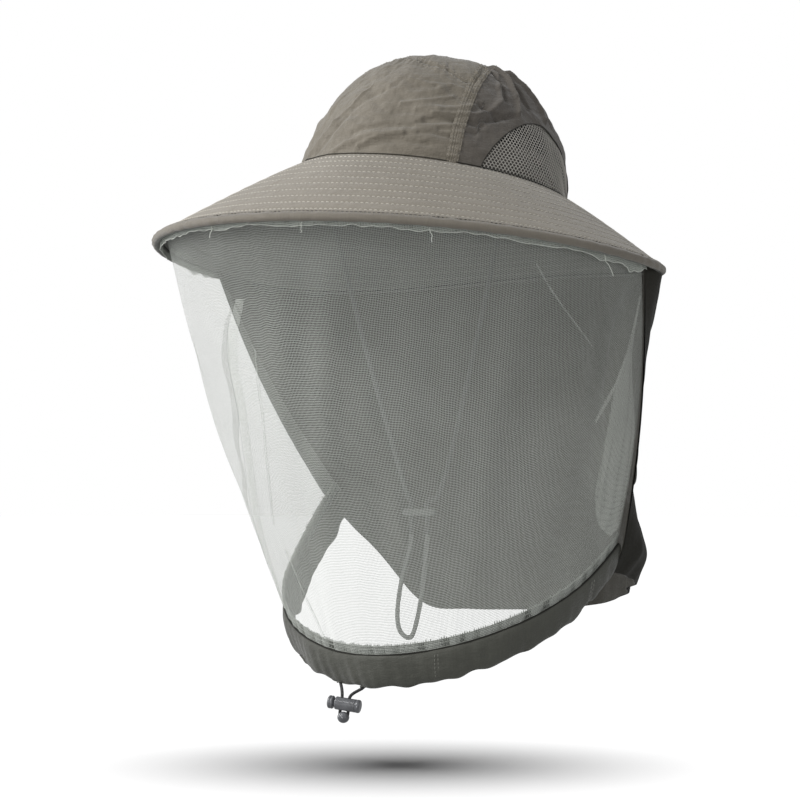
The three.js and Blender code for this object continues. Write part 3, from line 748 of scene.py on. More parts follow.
# Folds of the crown cloth: a run of (degrees, height), how far it stands out, and how wide it is.
CROWN_FOLDS = [
    ([(43, 33), (52, 35), (63, 37), (70, 36)], -1.8, 2.3),
    ([(38, 40), (50, 43), (62, 47), (67, 52)], 1.3, 2.8),
    ([(50, 27), (58, 29), (66, 27)], -1.1, 2.2),
    ([(28, 37), (38, 38), (46, 42)], -0.9, 2.8),
    ([(64, 53), (70, 51), (78, 45)], -1.6, 2.4),
    ([(68, 44), (74, 48), (81, 58), (84, 70)], 1.5, 3.0),
    ([(72, 40), (80, 46), (88, 49)], -1.2, 2.6),
    ([(98, 91), (96, 82), (93, 64), (90, 53)], 2.3, 2.6),
    ([(88, 86), (87, 74), (84, 62)], -1.5, 3.0),
    ([(104, 88), (102, 74), (99, 60)], -1.5, 3.0),
    ([(108, 88), (112, 80), (114, 69), (112, 56)], 2.1, 2.8),
    ([(124, 86), (126, 70), (122, 56)], -1.2, 3.4),
    ([(48, 60), (56, 63), (64, 61)], 0.9, 2.8),
    ([(40, 30), (50, 32), (60, 35), (69, 34)], -1.1, 1.7),
    ([(46, 38), (58, 41), (67, 43)], 1.0, 1.7),
    ([(68, 39), (76, 42), (86, 49)], -1.1, 1.7),
    ([(30, 45), (42, 48), (55, 54)], 0.8, 1.8),
    ([(97, 92), (95, 80), (92, 66)], 1.2, 1.6),
    ([(99, 92), (103, 78), (102, 62)], -1.1, 1.7),
    ([(94, 91), (88, 80), (82, 70)], 1.0, 1.7),
    ([(101, 92), (112, 85), (122, 74)], 1.0, 1.7),
    ([(36, 20), (46, 23), (56, 22)], -0.8, 1.8),
    ([(14, 10), (26, 18), (40, 22)], 0.8, 1.8),
    ([(-6, 30), (2, 44), (6, 60)], 0.7, 2.0),
    ([(-24, 20), (-18, 36), (-16, 54)], 0.5, 3.0),
    ([(30, 66), (42, 62), (54, 64)], 0.7, 1.9),
    ([(-20, 4), (-14, 16), (-5, 30)], 1.3, 3.4),
    ([(-2, 2), (8, 12), (20, 18), (34, 22)], 1.1, 2.8),
    ([(-12, 8), (-4, 20), (2, 34)], -0.9, 2.8),
    ([(10, 20), (24, 26), (38, 27)], -0.9, 2.4),
    ([(16, 8), (30, 14), (46, 14)], -0.9, 2.6),
    ([(20, 58), (34, 54), (50, 58)], 0.8, 4.0),
    ([(4, 40), (12, 52), (24, 60)], -0.7, 3.0),
    ([(150, 20), (158, 44), (170, 60)], 1.6, 4.0),
    ([(140, 60), (154, 70), (168, 84)], -1.2, 4.0),
    ([(196, 14), (204, 36), (200, 62)], 1.6, 4.0),
    ([(182, 30), (188, 54), (184, 80)], -1.2, 4.0),
    ([(222, 88), (232, 70), (240, 54)], 1.4, 3.4),
    ([(-60, 30), (-48, 38), (-36, 36)], 0.4, 4.0),
    ([(-80, 84), (-92, 74), (-98, 58)], 1.8, 3.4),
    ([(-68, 46), (-60, 50), (-46, 46)], -0.5, 3.6),
]


def side_seam(height):
    return np.interp(height, *zip(*SEAM_LEAN)) * DEG


def top_seam(angle):
    return np.interp(np.abs((angle / DEG + 180) % 360 - 180), *zip(*TOP_RUN))


def crown_lift(angle, height):
    """How far the crumpled cloth stands out from the dome."""
    x, y = angle / DEG * DEGREE_RUN, height
    calm = np.clip(height / 8, 0, 1)
    near_tip = np.clip(1 - (y / CROWN_HEIGHT) ** 2, 0, 1) ** 0.4
    lift = 0.6 * ripples(x, y, 46, 1) + 0.45 * ripples(x, y, 21, 2, math.pi / 2, 1.8)
    lift = lift + 0.17 * ripples(x, y, 10, 3, math.pi / 2, 1.6) + 0.06 * ripples(x, y, 5, 4)
    lift = lift * np.clip(1.8 * near_tip, 0, 1)
    for run, high, wide in CROWN_FOLDS:
        lift = lift + ridge(x, y, run, FOLD_RISE * high, FOLD_SPREAD * wide, DEGREE_RUN)
    from_seam = height - top_seam(angle)
    seam = np.exp(-((from_seam / 1.6) ** 2))
    drawn = 0.3 * ripples(x, y * 0.5, 7, 9, 0.0, 0.6) * np.exp(-((from_seam / 9) ** 2))
    lift = (lift + drawn) * np.clip(3 * near_tip, 0, 1)
    return lift * calm - seam * (1.0 + 0.4 * ripples(x, y, 8, 6))


def crown_columns(turn_at, low, high, rows):
    """Rows of heights, evenly spaced along the cloth between two heights, for each column."""
    dense = np.linspace(0, 1, 240)
    dense = 1 - (1 - dense) ** 1.7
    heights = low[:, None] + (high - low)[:, None] * dense
    points = on_crown(turn_at(heights), heights)
    run = run_lengths(points, 1)
    shares = np.linspace(0, 1, rows)
    return np.array([np.interp(shares * line[-1], line, tall) for line, tall in zip(run, heights)])


def reach_top(turn_at, count):
    """The height at which each column meets the top panel's seam."""
    height = np.full((count, 1), 60.0)
    for _ in range(60):
        height = 0.6 * height + 0.4 * top_seam(turn_at(height))
    return height[:, 0]


def add_panel(part, material, turn_at, low, high, rows, closed=False):
    heights = crown_columns(turn_at, low, high, rows)
    turn = turn_at(heights)
    bare = on_crown(turn, heights)
    lifted = bare + normals_of(bare) * crown_lift(turn, heights)[..., None]
    panel = grid(f"crown_{part}_cloth", tip_back(lifted), closed)
    dress(thicken(panel, PLY_THICK), material, replaces=[f"crown_{part}_panel"])


def vent_across(angle, height, side):
    point = on_crown(angle, height)
    turn = side * VENT_ANGLE
    return point[..., 0] * math.cos(turn) + point[..., 1] * math.sin(turn)


def vent_top(angle, side):
    """The height of the vent's arch at each angle, 0 outside it."""
    height = np.full_like(angle, VENT_FOOT, dtype=float)
    for _ in range(40):
        across = np.abs(vent_across(angle, height, side)) / VENT_WIDTH
        arch = np.clip(1 - across**1.7, 0, None) ** 0.7
        height = 0.5 * height + 0.5 * (VENT_FOOT + VENT_HEIGHT * arch)
    facing = np.cos(angle - side * VENT_ANGLE) > 0
    inside = np.abs(vent_across(angle, VENT_FOOT, side)) < VENT_WIDTH
    return np.where(facing & inside, height, 0.0)


def vent_ends(side):
    angle = side * VENT_ANGLE + np.linspace(-60, 60, 2401) * DEG
    inside = np.abs(vent_across(angle, VENT_FOOT, side)) < VENT_WIDTH
    return angle[inside].min(), angle[inside].max()


def eased(low, high, count):
    """Angles that crowd together at both ends."""
    return mix(low, high, (1 - np.cos(np.linspace(0, math.pi, count))) / 2)


def add_crown():
    across = np.linspace(-1, 1, 240)
    front = lambda heights: across[:, None] * side_seam(heights)
    flat = np.zeros_like(across)
    top = reach_top(front, len(across))
    add_panel("front", HAT_CLOTH, front, flat, top, 96)

    left = vent_ends(1)
    right = (vent_ends(-1)[0] + 2 * math.pi, vent_ends(-1)[1] + 2 * math.pi)
    spans = [
        np.linspace(SIDE_SEAM, left[0], 10, endpoint=False),
        eased(*left, 140)[:-1],
        np.linspace(left[1], right[0], 40, endpoint=False),
        eased(*right, 140)[:-1],
        np.linspace(right[1], 2 * math.pi - SIDE_SEAM, 10),
    ]
    angles = np.concatenate(spans)
    low = np.maximum(vent_top(angles, 1), vent_top(angles - 2 * math.pi, -1))
    near = np.minimum(angles, 2 * math.pi - angles)
    hand = np.where(angles < math.pi, 1, -1)
    fade = np.clip((2 * SIDE_SEAM - near) / SIDE_SEAM, 0, 1) * hand
    loose = np.clip((near - SIDE_SEAM) / (left[0] - SIDE_SEAM), 0, 1)

    def rear(heights):
        """The columns lean with the side seams, except where they start at a vent."""
        rise = np.clip((heights - low[:, None]) / 15, 0, 1)
        lean = (side_seam(heights) - SIDE_SEAM) * fade[:, None]
        return angles[:, None] + lean * mix(1, rise * rise * (3 - 2 * rise), loose[:, None])

    top = reach_top(rear, len(angles))
    # The rear panel takes the darker copy of the crown cloth, as painted shade.
    add_panel("rear", SHADED_REAR_CLOTH, rear, low, top, 84)

    ring = turns(360)
    tip = lambda heights: ring[:, None] + 0 * heights
    peak = np.full_like(ring, CROWN_HEIGHT - 1e-5)
    add_panel("top", HAT_CLOTH, tip, top_seam(ring), peak, 44, True)


def surface_row(angles, heights, out=0.0):
    """A run over the crumpled crown with its normals, for stitches."""
    near = np.stack([heights - 0.4, heights, heights + 0.4], 1)
    turn = np.broadcast_to(angles[:, None], near.shape)
    bare = on_crown(turn, near)
    lift = crown_lift(turn, near)
    flat = np.gradient(bare, axis=0)
    normal = np.cross(flat, np.gradient(bare, axis=1))
    steep = np.linalg.norm(flat, axis=-1, keepdims=True) < 1e-6
    normal = np.where(steep, around(1, 1, turn, 0.3), normal)
    normal /= np.linalg.norm(normal, axis=-1, keepdims=True)
    points = bare + normal * (lift + out)[..., None]
    return tip_back(points[:, 1]), tip_back(normal[:, 1])


def add_crown_seams():
    ring = np.linspace(-math.pi, math.pi, 700)
    rows = [surface_row(ring, top_seam(ring) + out, 0.1) for out in (-2.6, 2.2)]
    low_row = np.linspace(-SIDE_SEAM * 0.9, SIDE_SEAM * 0.9, 400)
    rows.append(surface_row(low_row, np.full_like(low_row, 2.4)))
    dress(add_stitches("crown_stitches", rows, 2.0, 3.0, 0.24), TAPE_STITCH)
    # Near-black lines round the crown's foot and along the vents' arches: painted shade in the joints.
    edges = [surface_row(ring, np.full_like(ring, 3.5), 0.35)[0]]
    for side in (1, -1):
        low, high = vent_ends(side)
        arch = eased(low + 0.001, high - 0.001, 300)
        edges.append(surface_row(arch, vent_top(arch, side) + 0.2, 0.1)[0])
    dress(add_tubes("crown_edge_painted_shade", edges, 0.3, 6), SEAM_SHADE)


TAPE_HALF, TAPE_FOOT, TAPE_LAST = 4.9, 1.6, 96


def tape_surface(side, across):
    """Angles and heights of a strip that runs up a side seam, at distances across it."""
    run = [(a, max(h, TAPE_FOOT)) for h, a in SEAM_LEAN]
    run += [(a, h) for a, h in TOP_RUN if SEAM_LEAN[-1][1] < a < TAPE_LAST]
    path = resample([(a * DEGREE_RUN, h, 0) for a, h in run], 1.0)
    angle, height = side * path[:, 0] / DEGREE_RUN * DEG, path[:, 1]
    along = np.gradient(on_crown(angle, height), axis=0)
    around_way = (on_crown(angle + 1e-3, height) - on_crown(angle - 1e-3, height)) / 2e-3
    upward = (on_crown(angle, height + 0.05) - on_crown(angle, height - 0.05)) / 0.1
    out = np.cross(along, np.cross(around_way, upward))
    out *= side / np.linalg.norm(out, axis=-1, keepdims=True)
    dot = lambda a, b: (a * b).sum(-1)
    a, b, c = dot(around_way, around_way), dot(around_way, upward), dot(upward, upward)
    p, q = dot(out, around_way), dot(out, upward)
    turn = (c * p - b * q) / (a * c - b * b)
    rise = (a * q - b * p) / (a * c - b * b)
    return angle + across[:, None] * turn, height + across[:, None] * rise


def add_tapes():
    seams = (-0.80, -0.34, 0.34, 0.80)
    across = np.linspace(-1, 1, 33)
    for name, side in (("left", 1), ("right", -1)):
        turn, heights = tape_surface(side, across * TAPE_HALF)
        run = np.arange(turn.shape[1])[None, :] + 0 * turn
        wide = across[:, None] * TAPE_HALF
        pillow = 0.9 - 0.4 * np.abs(across)[:, None] ** 6
        pillow = pillow + 0.42 * ripples(wide * 0.6, run, 7, 5 + side, math.pi / 2, 0.9)
        pillow = pillow + 0.22 * ripples(wide, run, 3.6, 8 + side, math.pi / 2, 1.2)
        for seam in (*seams, 0.0):
            pillow = pillow - 0.4 * np.exp(-(((across[:, None] - seam) / 0.08) ** 2))
        lift = np.maximum(crown_lift(turn, heights), -0.6) + pillow
        bare = on_crown(turn, heights)
        points = tip_back(bare + side * normals_of(bare) * lift[..., None])
        if side < 0:
            points = points[::-1]
        tape = grid(f"crown_tape_{name}", points)
        dress(thicken(tape, 1.1), HAT_CLOTH, replaces=[f"crown_seam_tape_{name}"])
        normal = normals_of(points)
        columns = [int(round((seam + 1) / 2 * (len(across) - 1))) for seam in seams]
        rows = [(points[column], normal[column]) for column in columns]
        stitches = add_stitches(f"tape_stitches_{name}", rows, 1.9, 2.9, 0.25)
        dress(stitches, TAPE_STITCH)


VENT_FOLDS = [
    ([(118, 2), (106, 14), (96, 24)], 1.3, 3.4),
    ([(110, 2), (100, 8), (90, 12)], 1.0, 4.0),
    ([(134, 4), (126, 18), (124, 34)], 1.2, 3.4),
]


def vent_sag(angle, height, side):
    """How deep the vent's cloth lies below the dome."""
    x = side * angle / DEG * DEGREE_RUN
    sag = -0.9 + 0.6 * ripples(x, height, 26, 9)
    for run, high, wide in VENT_FOLDS:
        sag = sag + ridge(x, height, run, high, wide, DEGREE_RUN)
    return np.minimum(sag, -0.3)


def on_vent(angle, height, side, below=0.0):
    bare = on_crown(angle, height)
    return tip_back(bare + around(1, 1, angle, 0.0) * (vent_sag(angle, height, side) - below)[..., None])


# The vents' knitted mesh: between its columns, between its turns, and the radius to measure round.
COLUMN_GAP, TURN_GAP, MEAN_RADIUS = 1.55, 2.0, 100.0


def add_vents():
    """Coarse knitted mesh: open cells, staggered like bricks, over a near-black sheet just inside, which
    paints the shade in the crown behind the holes.
    """
    height = np.arange(0.6, VENT_HEIGHT + VENT_FOOT + 2, TURN_GAP / 4)
    for name, side in (("left", 1), ("right", -1)):
        low, high = vent_ends(side)
        kept = []
        for i in range(int((high - low) * MEAN_RADIUS / COLUMN_GAP) + 3):
            zig = np.clip(np.sin(math.pi * ((height / TURN_GAP + i) % 2)) * 1.8, -1, 1) * 0.68
            angle = low + ((i - 1) * COLUMN_GAP + zig + 0.05 * height) / MEAN_RADIUS
            inside = np.clip(angle, low + 1e-3, high - 1e-3)
            roof = vent_top(inside, side) + 1.6
            fits = (height < roof) & (angle > low - 0.012) & (angle < high + 0.012)
            if fits.sum() > 3:
                kept.append(on_vent(angle[fits], height[fits], side))
        mesh = add_tubes(f"vent_threads_{name}", kept, 0.35, 6)
        dress(mesh, VENT_THREAD, replaces=[f"vent_mesh_{name}"])
        # A near-black sheet 4 mm inside the mesh, as painted shade seen through its holes.
        angles = np.linspace(low + 0.002, high - 0.002, 90)
        heights = 0.4 + (vent_top(angles, side)[:, None] + 1.2) * np.linspace(0, 1, 30)
        back = grid(f"vent_painted_shade_{name}", on_vent(angles[:, None] + 0 * heights, heights, side, 4.0))
        dress(thicken(back, 0.3), VENT_SHADE_SHEET)


BAND_LOW, BAND_HIGH, BAND_OUTER, BAND_THICK = 1.0, 27.0, 2.6, 1.2


def add_sweatband():
    """The folded cloth band inside the crown, with two rows of stitches."""
    rise = np.linspace(BAND_LOW, BAND_HIGH, 14)
    heights = np.concatenate([rise, rise[::-1], rise[:1]])
    edge = np.minimum(heights - BAND_LOW, BAND_HIGH - heights)
    round_off = 0.5 * (1 - np.clip(edge / 1.5, 0, 1)) ** 2
    outer = BAND_OUTER + round_off[:14]
    inner = BAND_OUTER + BAND_THICK - round_off[14:28]
    inset = np.concatenate([outer, inner, outer[:1]])
    turn, high = np.meshgrid(turns(300), heights, indexing="ij")
    pucker = 0.16 * ripples(turn * 95, high, 11, 91, 0.0, 0.9)
    depth = inset[None, :] + np.where(inset > BAND_OUTER + 0.6, pucker, 0)
    band = grid("sweatband_cloth", tip_back(on_crown(turn, high, depth)), closed=True)
    dress(band, LINING, replaces=["sweatband"])
    ring = np.linspace(0, 2 * math.pi, 500)
    rows = []
    for level in (BAND_LOW + 2.4, BAND_HIGH - 2.0):
        path = on_crown(ring, np.full_like(ring, level), BAND_OUTER + BAND_THICK)
        rows.append((tip_back(path), tip_back(-around(1, 1, ring, 0.0))))
    dress(add_stitches("sweatband_stitches", rows, 2.1, 3.3, 0.26), DARK_STITCH)


# ---- brim ----------------------------------------

BRIM_RING = np.linspace(0, 2 * math.pi, 721)
BRIM_SEAMS = (np.arange(10) + 0.6) / 10.2


def brim_row(path, face):
    """A row of stitches round the brim's upper face (1) or lower face (-1)."""
    normal = around(0.35, 0.35, BRIM_RING, 1.0) * face
    normal /= np.linalg.norm(normal, axis=-1, keepdims=True)
    return tip_back(path), tip_back(normal)


def add_brim():
    turn, share = np.meshgrid(turns(360), np.linspace(0, 1, 110), indexing="ij")
    puckers = 0.12 * ripples(turn * 150, share * 100, 9, 21, 0.0, 1.2)
    wave = (0.9 * np.sin(3 * turn + 0.6) + 0.6 * np.sin(5 * turn + 2.0)) * share * (1 - share) * 2.0
    quilt = wave - 0.38 * sum(np.exp(-(((share - at) / 0.016) ** 2)) for at in BRIM_SEAMS)
    for name, face, ply, thread in (
        ("top", 1, BRIM_CLOTH, STITCH),
        ("bottom", -1, UNDER_CLOTH, DARK_STITCH),
    ):
        lift = face * (PLY_LIFT + puckers + np.minimum(quilt, 0)) + np.maximum(quilt, 0) * 0.3
        points = tip_back(on_brim(turn, share, lift))[:, ::-face]
        sheet = grid(f"brim_{name}_cloth", points, closed=True)
        dress(thicken(sheet, PLY_THICK), ply, replaces=[f"brim_{name}_ply"])
        level = face * (PLY_LIFT - 0.25)
        rows = [brim_row(on_brim(BRIM_RING, at + 0 * BRIM_RING, level), face) for at in BRIM_SEAMS]
        dress(add_stitches(f"brim_{name}_stitches", rows, 2.2, 3.5, 0.35), thread)


def add_binding():
    turn = np.linspace(-100, 100, 19) * DEG
    lip = [-BIND_MOUTH / 2, -BIND_MOUTH]
    across = np.concatenate([lip[::-1], BIND_HALF * np.cos(turn), lip])
    tall = BIND_HALF * np.sin(turn)
    tall = np.concatenate([[0.5 - BIND_HALF, -BIND_HALF], tall, [BIND_HALF, BIND_HALF - 0.5]])
    angle, x = np.meshgrid(turns(720), across, indexing="ij")
    y = np.broadcast_to(tall, angle.shape)
    size = 1 + 0.16 * ripples(angle * 180, y * 3, 14, 31, 0.5, 0.8) / BIND_HALF
    points = tip_back(brim_edge(angle, x * size, y * size))
    split = 7  # the column where the shaded underside of the fold ends
    band = grid("brim_binding_cloth", points[:, split:], closed=True)
    dress(thicken(band, PLY_THICK), BIND_CLOTH, replaces=["brim_edge_binding"])
    # The binding tape is one cloth; its underside takes the darker underbrim cloth as painted shade.
    under = grid("brim_binding_painted_shade_underside", points[:, : split + 1], closed=True)
    dress(thicken(under, PLY_THICK), UNDER_CLOTH)
    # Near-black lines where the binding meets the brim, top and bottom: painted shade in the joint.
    joint = []
    for name, face, thread in (("top", 1, TAPE_STITCH), ("bottom", -1, DARK_STITCH)):
        rows = [brim_row(brim_edge(BRIM_RING, 1.3 - BIND_MOUTH, face * (BIND_HALF - 0.1)), face)]
        dress(add_stitches(f"binding_{name}_stitches", rows, 2.0, 3.1, 0.28), thread)
        joint.append(tip_back(brim_edge(BRIM_RING, -BIND_MOUTH - 0.2, face * (BIND_HALF - 0.6))))
    dress(add_tubes("binding_edge_painted_shade", joint, 0.4, 6), SEAM_SHADE)


# ---- net ----------------------------------------


def net_sway(share, height):
    """Soft upright folds, fuller towards the hem, and a few that start at the brim."""
    x, y = share * NET_LONG, height * NET_TALL
    free = np.sin(math.pi * np.clip(height, 0, 1)) ** 0.7
    edge = np.clip(np.minimum(share, 1 - share) * 14, 0, 1)
    folds = 1.7 * ripples(x + 0.25 * y, 0.12 * y, 95, 41, 0.0, 0.5)
    folds = folds + 0.8 * ripples(x - 0.2 * y, 0.2 * y, 38, 42, 0.0, 0.6)
    sewn = np.exp(-y / 26) + 0.6 * np.exp((y - NET_TALL) / 20)
    puckers = 0.7 * ripples(x, 0.1 * y, 15, 43, 0.0, 0.4) * sewn
    return (folds * free + puckers) * edge


def net_point(share, height, out=0.0):
    return on_net(share, height, net_sway(share, height) + out)


def sheet_shares(columns, rows):
    return np.meshgrid(np.linspace(0, 1, columns), np.linspace(0, 1, rows), indexing="ij")


def add_net():
    return dress(grid("net_cloth", net_point(*sheet_shares(300, 130))), NET, replaces=["net_veil"])


PLEAT_LIFT = 0.7

# Pleats where the net folds over itself: the left edge's shares and heights, then the right edge's shares,
# and its heights where they are not the left edge's.
PLEATS = [
    (
        [0.004, 0.058, 0.105, 0.235, 0.288],
        [0.845, 0.67, 0.465, 0.185, 0.01],
        [0.005, 0.078, 0.128, 0.252, 0.292],
    ),
    (
        [0.985, 0.962, 0.940, 0.922, 0.915, 0.910, 0.905, 0.925, 0.963],
        [0.88, 0.79, 0.70, 0.615, 0.50, 0.40, 0.265, 0.16, 0.075],
        [0.992, 0.972, 0.958, 0.962, 0.978, 0.990, 0.995, 0.995, 0.99],
    ),
    (
        [0.936, 0.922, 0.905, 0.893],
        [0.68, 0.615, 0.55, 0.50],
        [0.940, 0.926, 0.910, 0.895],
        [0.68, 0.612, 0.54, 0.49],
    ),
    ([0.800, 0.815, 0.833, 0.878], [0.93, 0.88, 0.83, 0.72], [0.803, 0.818, 0.836, 0.880]),
    (
        [0.415, 0.378, 0.367, 0.340, 0.310, 0.300],
        [0.82, 0.70, 0.545, 0.38, 0.23, 0.03],
        [0.432, 0.400, 0.389, 0.362, 0.335, 0.318],
    ),
    (
        [0.435, 0.430, 0.427, 0.408, 0.385],
        [0.705, 0.60, 0.54, 0.40, 0.275],
        [0.438, 0.433, 0.430, 0.411, 0.388],
    ),
    ([0.400, 0.420, 0.450], [0.22, 0.13, 0.02], [0.404, 0.424, 0.455]),
]


def add_pleats():
    points, uvs, faces, edges = [], [], [], []
    across = np.linspace(0, 1, 7)
    lift = PLEAT_LIFT * np.sin(math.pi * np.clip(across, 0.02, 0.98)) ** 0.3
    for left, high, right, *other_high in PLEATS:
        edge = smooth_path(np.stack([left, high, 0 * np.array(high)], -1), 12)
        far = smooth_path(np.stack([right, *(other_high or [high]), 0 * np.array(high)], -1), 12)
        share = mix(edge[:, :1], far[:, :1], across)
        height = mix(edge[:, 1:2], far[:, 1:2], across)
        faces += grid_faces(*share.shape, first=sum(len(p) for p in points))
        points.append(net_point(share, height, lift).reshape(-1, 3))
        uvs.append(np.stack([share * NET_LONG, height * NET_TALL], -1).reshape(-1, 2))
        edges.append(net_point(edge[:, 0], edge[:, 1], 1.0))
    strips = add_mesh("net_pleats", np.concatenate(points), faces, np.concatenate(uvs))
    dress(strips, NET)
    dress(add_tubes("net_pleat_edges", edges, 0.22, 5), NET_EDGE)


def add_net_edge():
    """The net's raw top edge, which shows below the binding."""
    angles = np.linspace(NET_TOP[0], NET_TOP[1], 500)
    run = angles * 190
    wave = 1.0 + 0.55 * ripples(run, 0, 60, 51, 0.0, 0.1) + 0.35 * ripples(run, 0, 17, 52, 0.0, 0.1)
    end = np.clip((angles - 70 * DEG) / (30 * DEG), 0, 1)
    hang = np.clip(2.0 + 1.5 * wave + 2.5 * end * (1 + np.sin(run / 7)), 0.8, 9)
    rows = np.linspace(0, 1, 7)
    out = -2.6 + 2.0 * rows + 0.7 * ripples(run[:, None], rows * 5, 12, 53)
    down = -BIND_HALF + 0.3 - rows * hang[:, None]
    points = tip_back(brim_edge(angles[:, None] + 0 * rows, out, down))
    dress(grid("net_raw_edge", points), NET_EDGE)
    frays = [points[:, -1]]
    rng = np.random.default_rng(5)
    for angle, length in ((46 * DEG, 9.0), (-4 * DEG, 6.0), (84 * DEG, 16.0), (20 * DEG, 5.0)):
        line = [brim_edge(angle, -0.5, -BIND_HALF - 1.0)]
        for _ in range(8):
            line.append(line[-1] + rng.normal(0, 0.5, 3) + np.array([0.5, 0, -1]) * length / 8)
        frays.append(tip_back(np.array(line)))
    frayed = add_tubes("net_frayed_threads", [smooth_path(f, 2) for f in frays], 0.24, 5)
    dress(frayed, PALE_THREAD)


# ---- cape ----------------------------------------

# Folds of the cape: a run of (share, height), how far it stands out in mm, and its width in mm.
CAPE_FOLDS = [
    ([(0.10, 0.98), (0.13, 0.60), (0.11, 0.30)], 5.0, 12),
    ([(0.22, 0.98), (0.24, 0.55), (0.22, 0.05)], -5.0, 14),
    ([(0.36, 0.98), (0.37, 0.50), (0.40, 0.02)], 5.5, 16),
    ([(0.52, 0.95), (0.50, 0.50), (0.52, 0.02)], -5.0, 16),
    ([(0.66, 0.98), (0.68, 0.50), (0.64, 0.02)], 5.0, 15),
    ([(0.80, 0.98), (0.78, 0.55), (0.82, 0.10)], -4.5, 13),
    ([(0.00, 0.31), (0.10, 0.28), (0.20, 0.33)], -7.0, 7),
    ([(0.02, 0.13), (0.10, 0.11), (0.20, 0.14)], 6.0, 22),
    ([(0.80, 0.33), (0.90, 0.28), (1.00, 0.31)], -5.0, 8),
]


def cape_sway(share, height):
    x, y = share * CAPE_LONG, height * CAPE_TALL
    edge = np.clip(np.minimum(share, 1 - share) * 16, 0, 1)
    top = np.clip((1 - height) * 10, 0, 1)
    lift = 1.6 * ripples(x, 0.3 * y, 70, 61, 0.0, 0.8) + 0.7 * ripples(x, y, 26, 62)
    for run, high, wide in CAPE_FOLDS:
        lift = lift + ridge(x, y, run, high, wide, CAPE_LONG, CAPE_TALL)
    curl = np.clip(1 - height / 0.10, 0, 1) ** 2
    flap = np.exp(-(((share - 0.055) / 0.045) ** 2)) * np.clip(height, 0, 1) ** 1.5
    return lift * edge * top - 7.0 * curl + 7.0 * flap


def add_cape():
    share, height = sheet_shares(260, 130)
    sway = cape_sway(share, height)
    made = grid("cape_cloth_sheet", on_cape(share, height, sway))
    dress(thicken(made, 0.4), CAPE_CLOTH, replaces=["neck_cape"])
    # A darker sheet just outside the cape: partly its own colour, partly painted shade.
    dress(grid("cape_outer_face_painted_shade", on_cape(share, height, sway + 1.3)), CAPE_OUTSIDE_SHADED)
    run = share[:, 0]
    outward = around(1, 1, mix(NET_BOTTOM[1], NET_BOTTOM[0] + 2 * math.pi, run), 0.0)
    rows = [(on_cape(run, level, cape_sway(run, level) + 0.1), outward) for level in (0.018, 0.045)]
    dress(add_stitches("cape_hem_stitches", rows, 2.0, 3.2, 0.24), DARK_STITCH)
    return made


# ---- hem ----------------------------------------


def boxed(turn, wide, high, square_x, square_y):
    """A rounded box's outline at the given angles; the smaller the powers, the squarer it is."""
    x, y = np.cos(turn), np.sin(turn)
    return np.sign(x) * np.abs(x) ** square_x * wide / 2, np.sign(y) * np.abs(y) ** square_y * high / 2


def add_hem():
    x, y = boxed(turns(36), HEM_THICK, HEM_HIGH, 0.8, 0.75)
    share = np.linspace(0, 1, 520)[:, None] + 0 * x
    run = share * HEM_LONG
    slack = 1.1 * ripples(run, y * 0.6, 46, 71, 0.0, 0.5) + 0.28 * ripples(run, y, 13, 72, 0.0, 0.9)
    pucker = slack * (0.6 + 0.8 * np.clip(0.5 - y / HEM_HIGH, 0, 1))
    bottom = 0.9 * ripples(run, 0, 24, 73, 0.0, 0.1) * np.clip(-y / HEM_HIGH * 2, 0, 1)
    tall = np.where(y < 0, HEM_FLARE, 1.0) * y
    points = on_hem(share, x + pucker * np.sign(x) * 0.8, tall + bottom)
    points = np.concatenate([points, points[:, :1]], 1)
    columns, rows = points.shape[:2]
    faces = grid_faces(columns, rows)
    last = (columns - 1) * rows
    caps = [tuple(reversed(range(rows - 1))), tuple(last + k for k in range(rows - 1))]
    along = run_lengths(points, 0)[:, rows // 2][:, None] + 0 * points[..., 0]
    uvs = np.stack([along, run_lengths(points, 1)], -1)
    sleeve = add_mesh("hem_sleeve_cloth", points, faces + caps, uvs)
    dress(sleeve, HEM_CLOTH, replaces=["hem_sleeve"])


def add_hem_seams():
    rows = []
    shares = np.linspace(0.002, 0.998, 600)
    # Near-black lines along both sides of the sleeve's top fold: painted shade in the fold.
    fold = [on_hem(shares, out, HEM_HIGH / 2 + 0.1) for out in (-1.2, 1.2)]
    dress(add_tubes("hem_fold_painted_shade", fold, 0.55, 6), SEAM_SHADE)
    up = np.linspace(-HEM_HIGH / 2 + 1.5, HEM_HIGH / 2 - 1.5, 30)
    bulge = HEM_THICK / 2 * np.sqrt(np.clip(1 - (up / HEM_HIGH * 2) ** 2, 0.05, 1)) ** 0.6 + 0.55
    for at in (0.655, 0.925, 0.13, 0.40):
        for off in (-1.2, 1.2):
            share = np.full_like(up, at + off / HEM_LONG)
            rows.append((on_hem(share, bulge, up), around(1, 1, mix(*NET_BOTTOM, share), 0.0)))
    dress(add_stitches("hem_stitches", rows, 2.0, 3.0, 0.26), DARK_STITCH)


def band_point(share, out, high):
    """A point on the net's lower seam edge, so far in from the net and so far above the sleeve."""
    foot = on_net(share, 0.0, out)
    head = on_net(share, 0.2, out)
    way = (head - foot) / np.linalg.norm(head - foot, axis=-1, keepdims=True)
    return foot + way * np.asarray(high)[..., None]


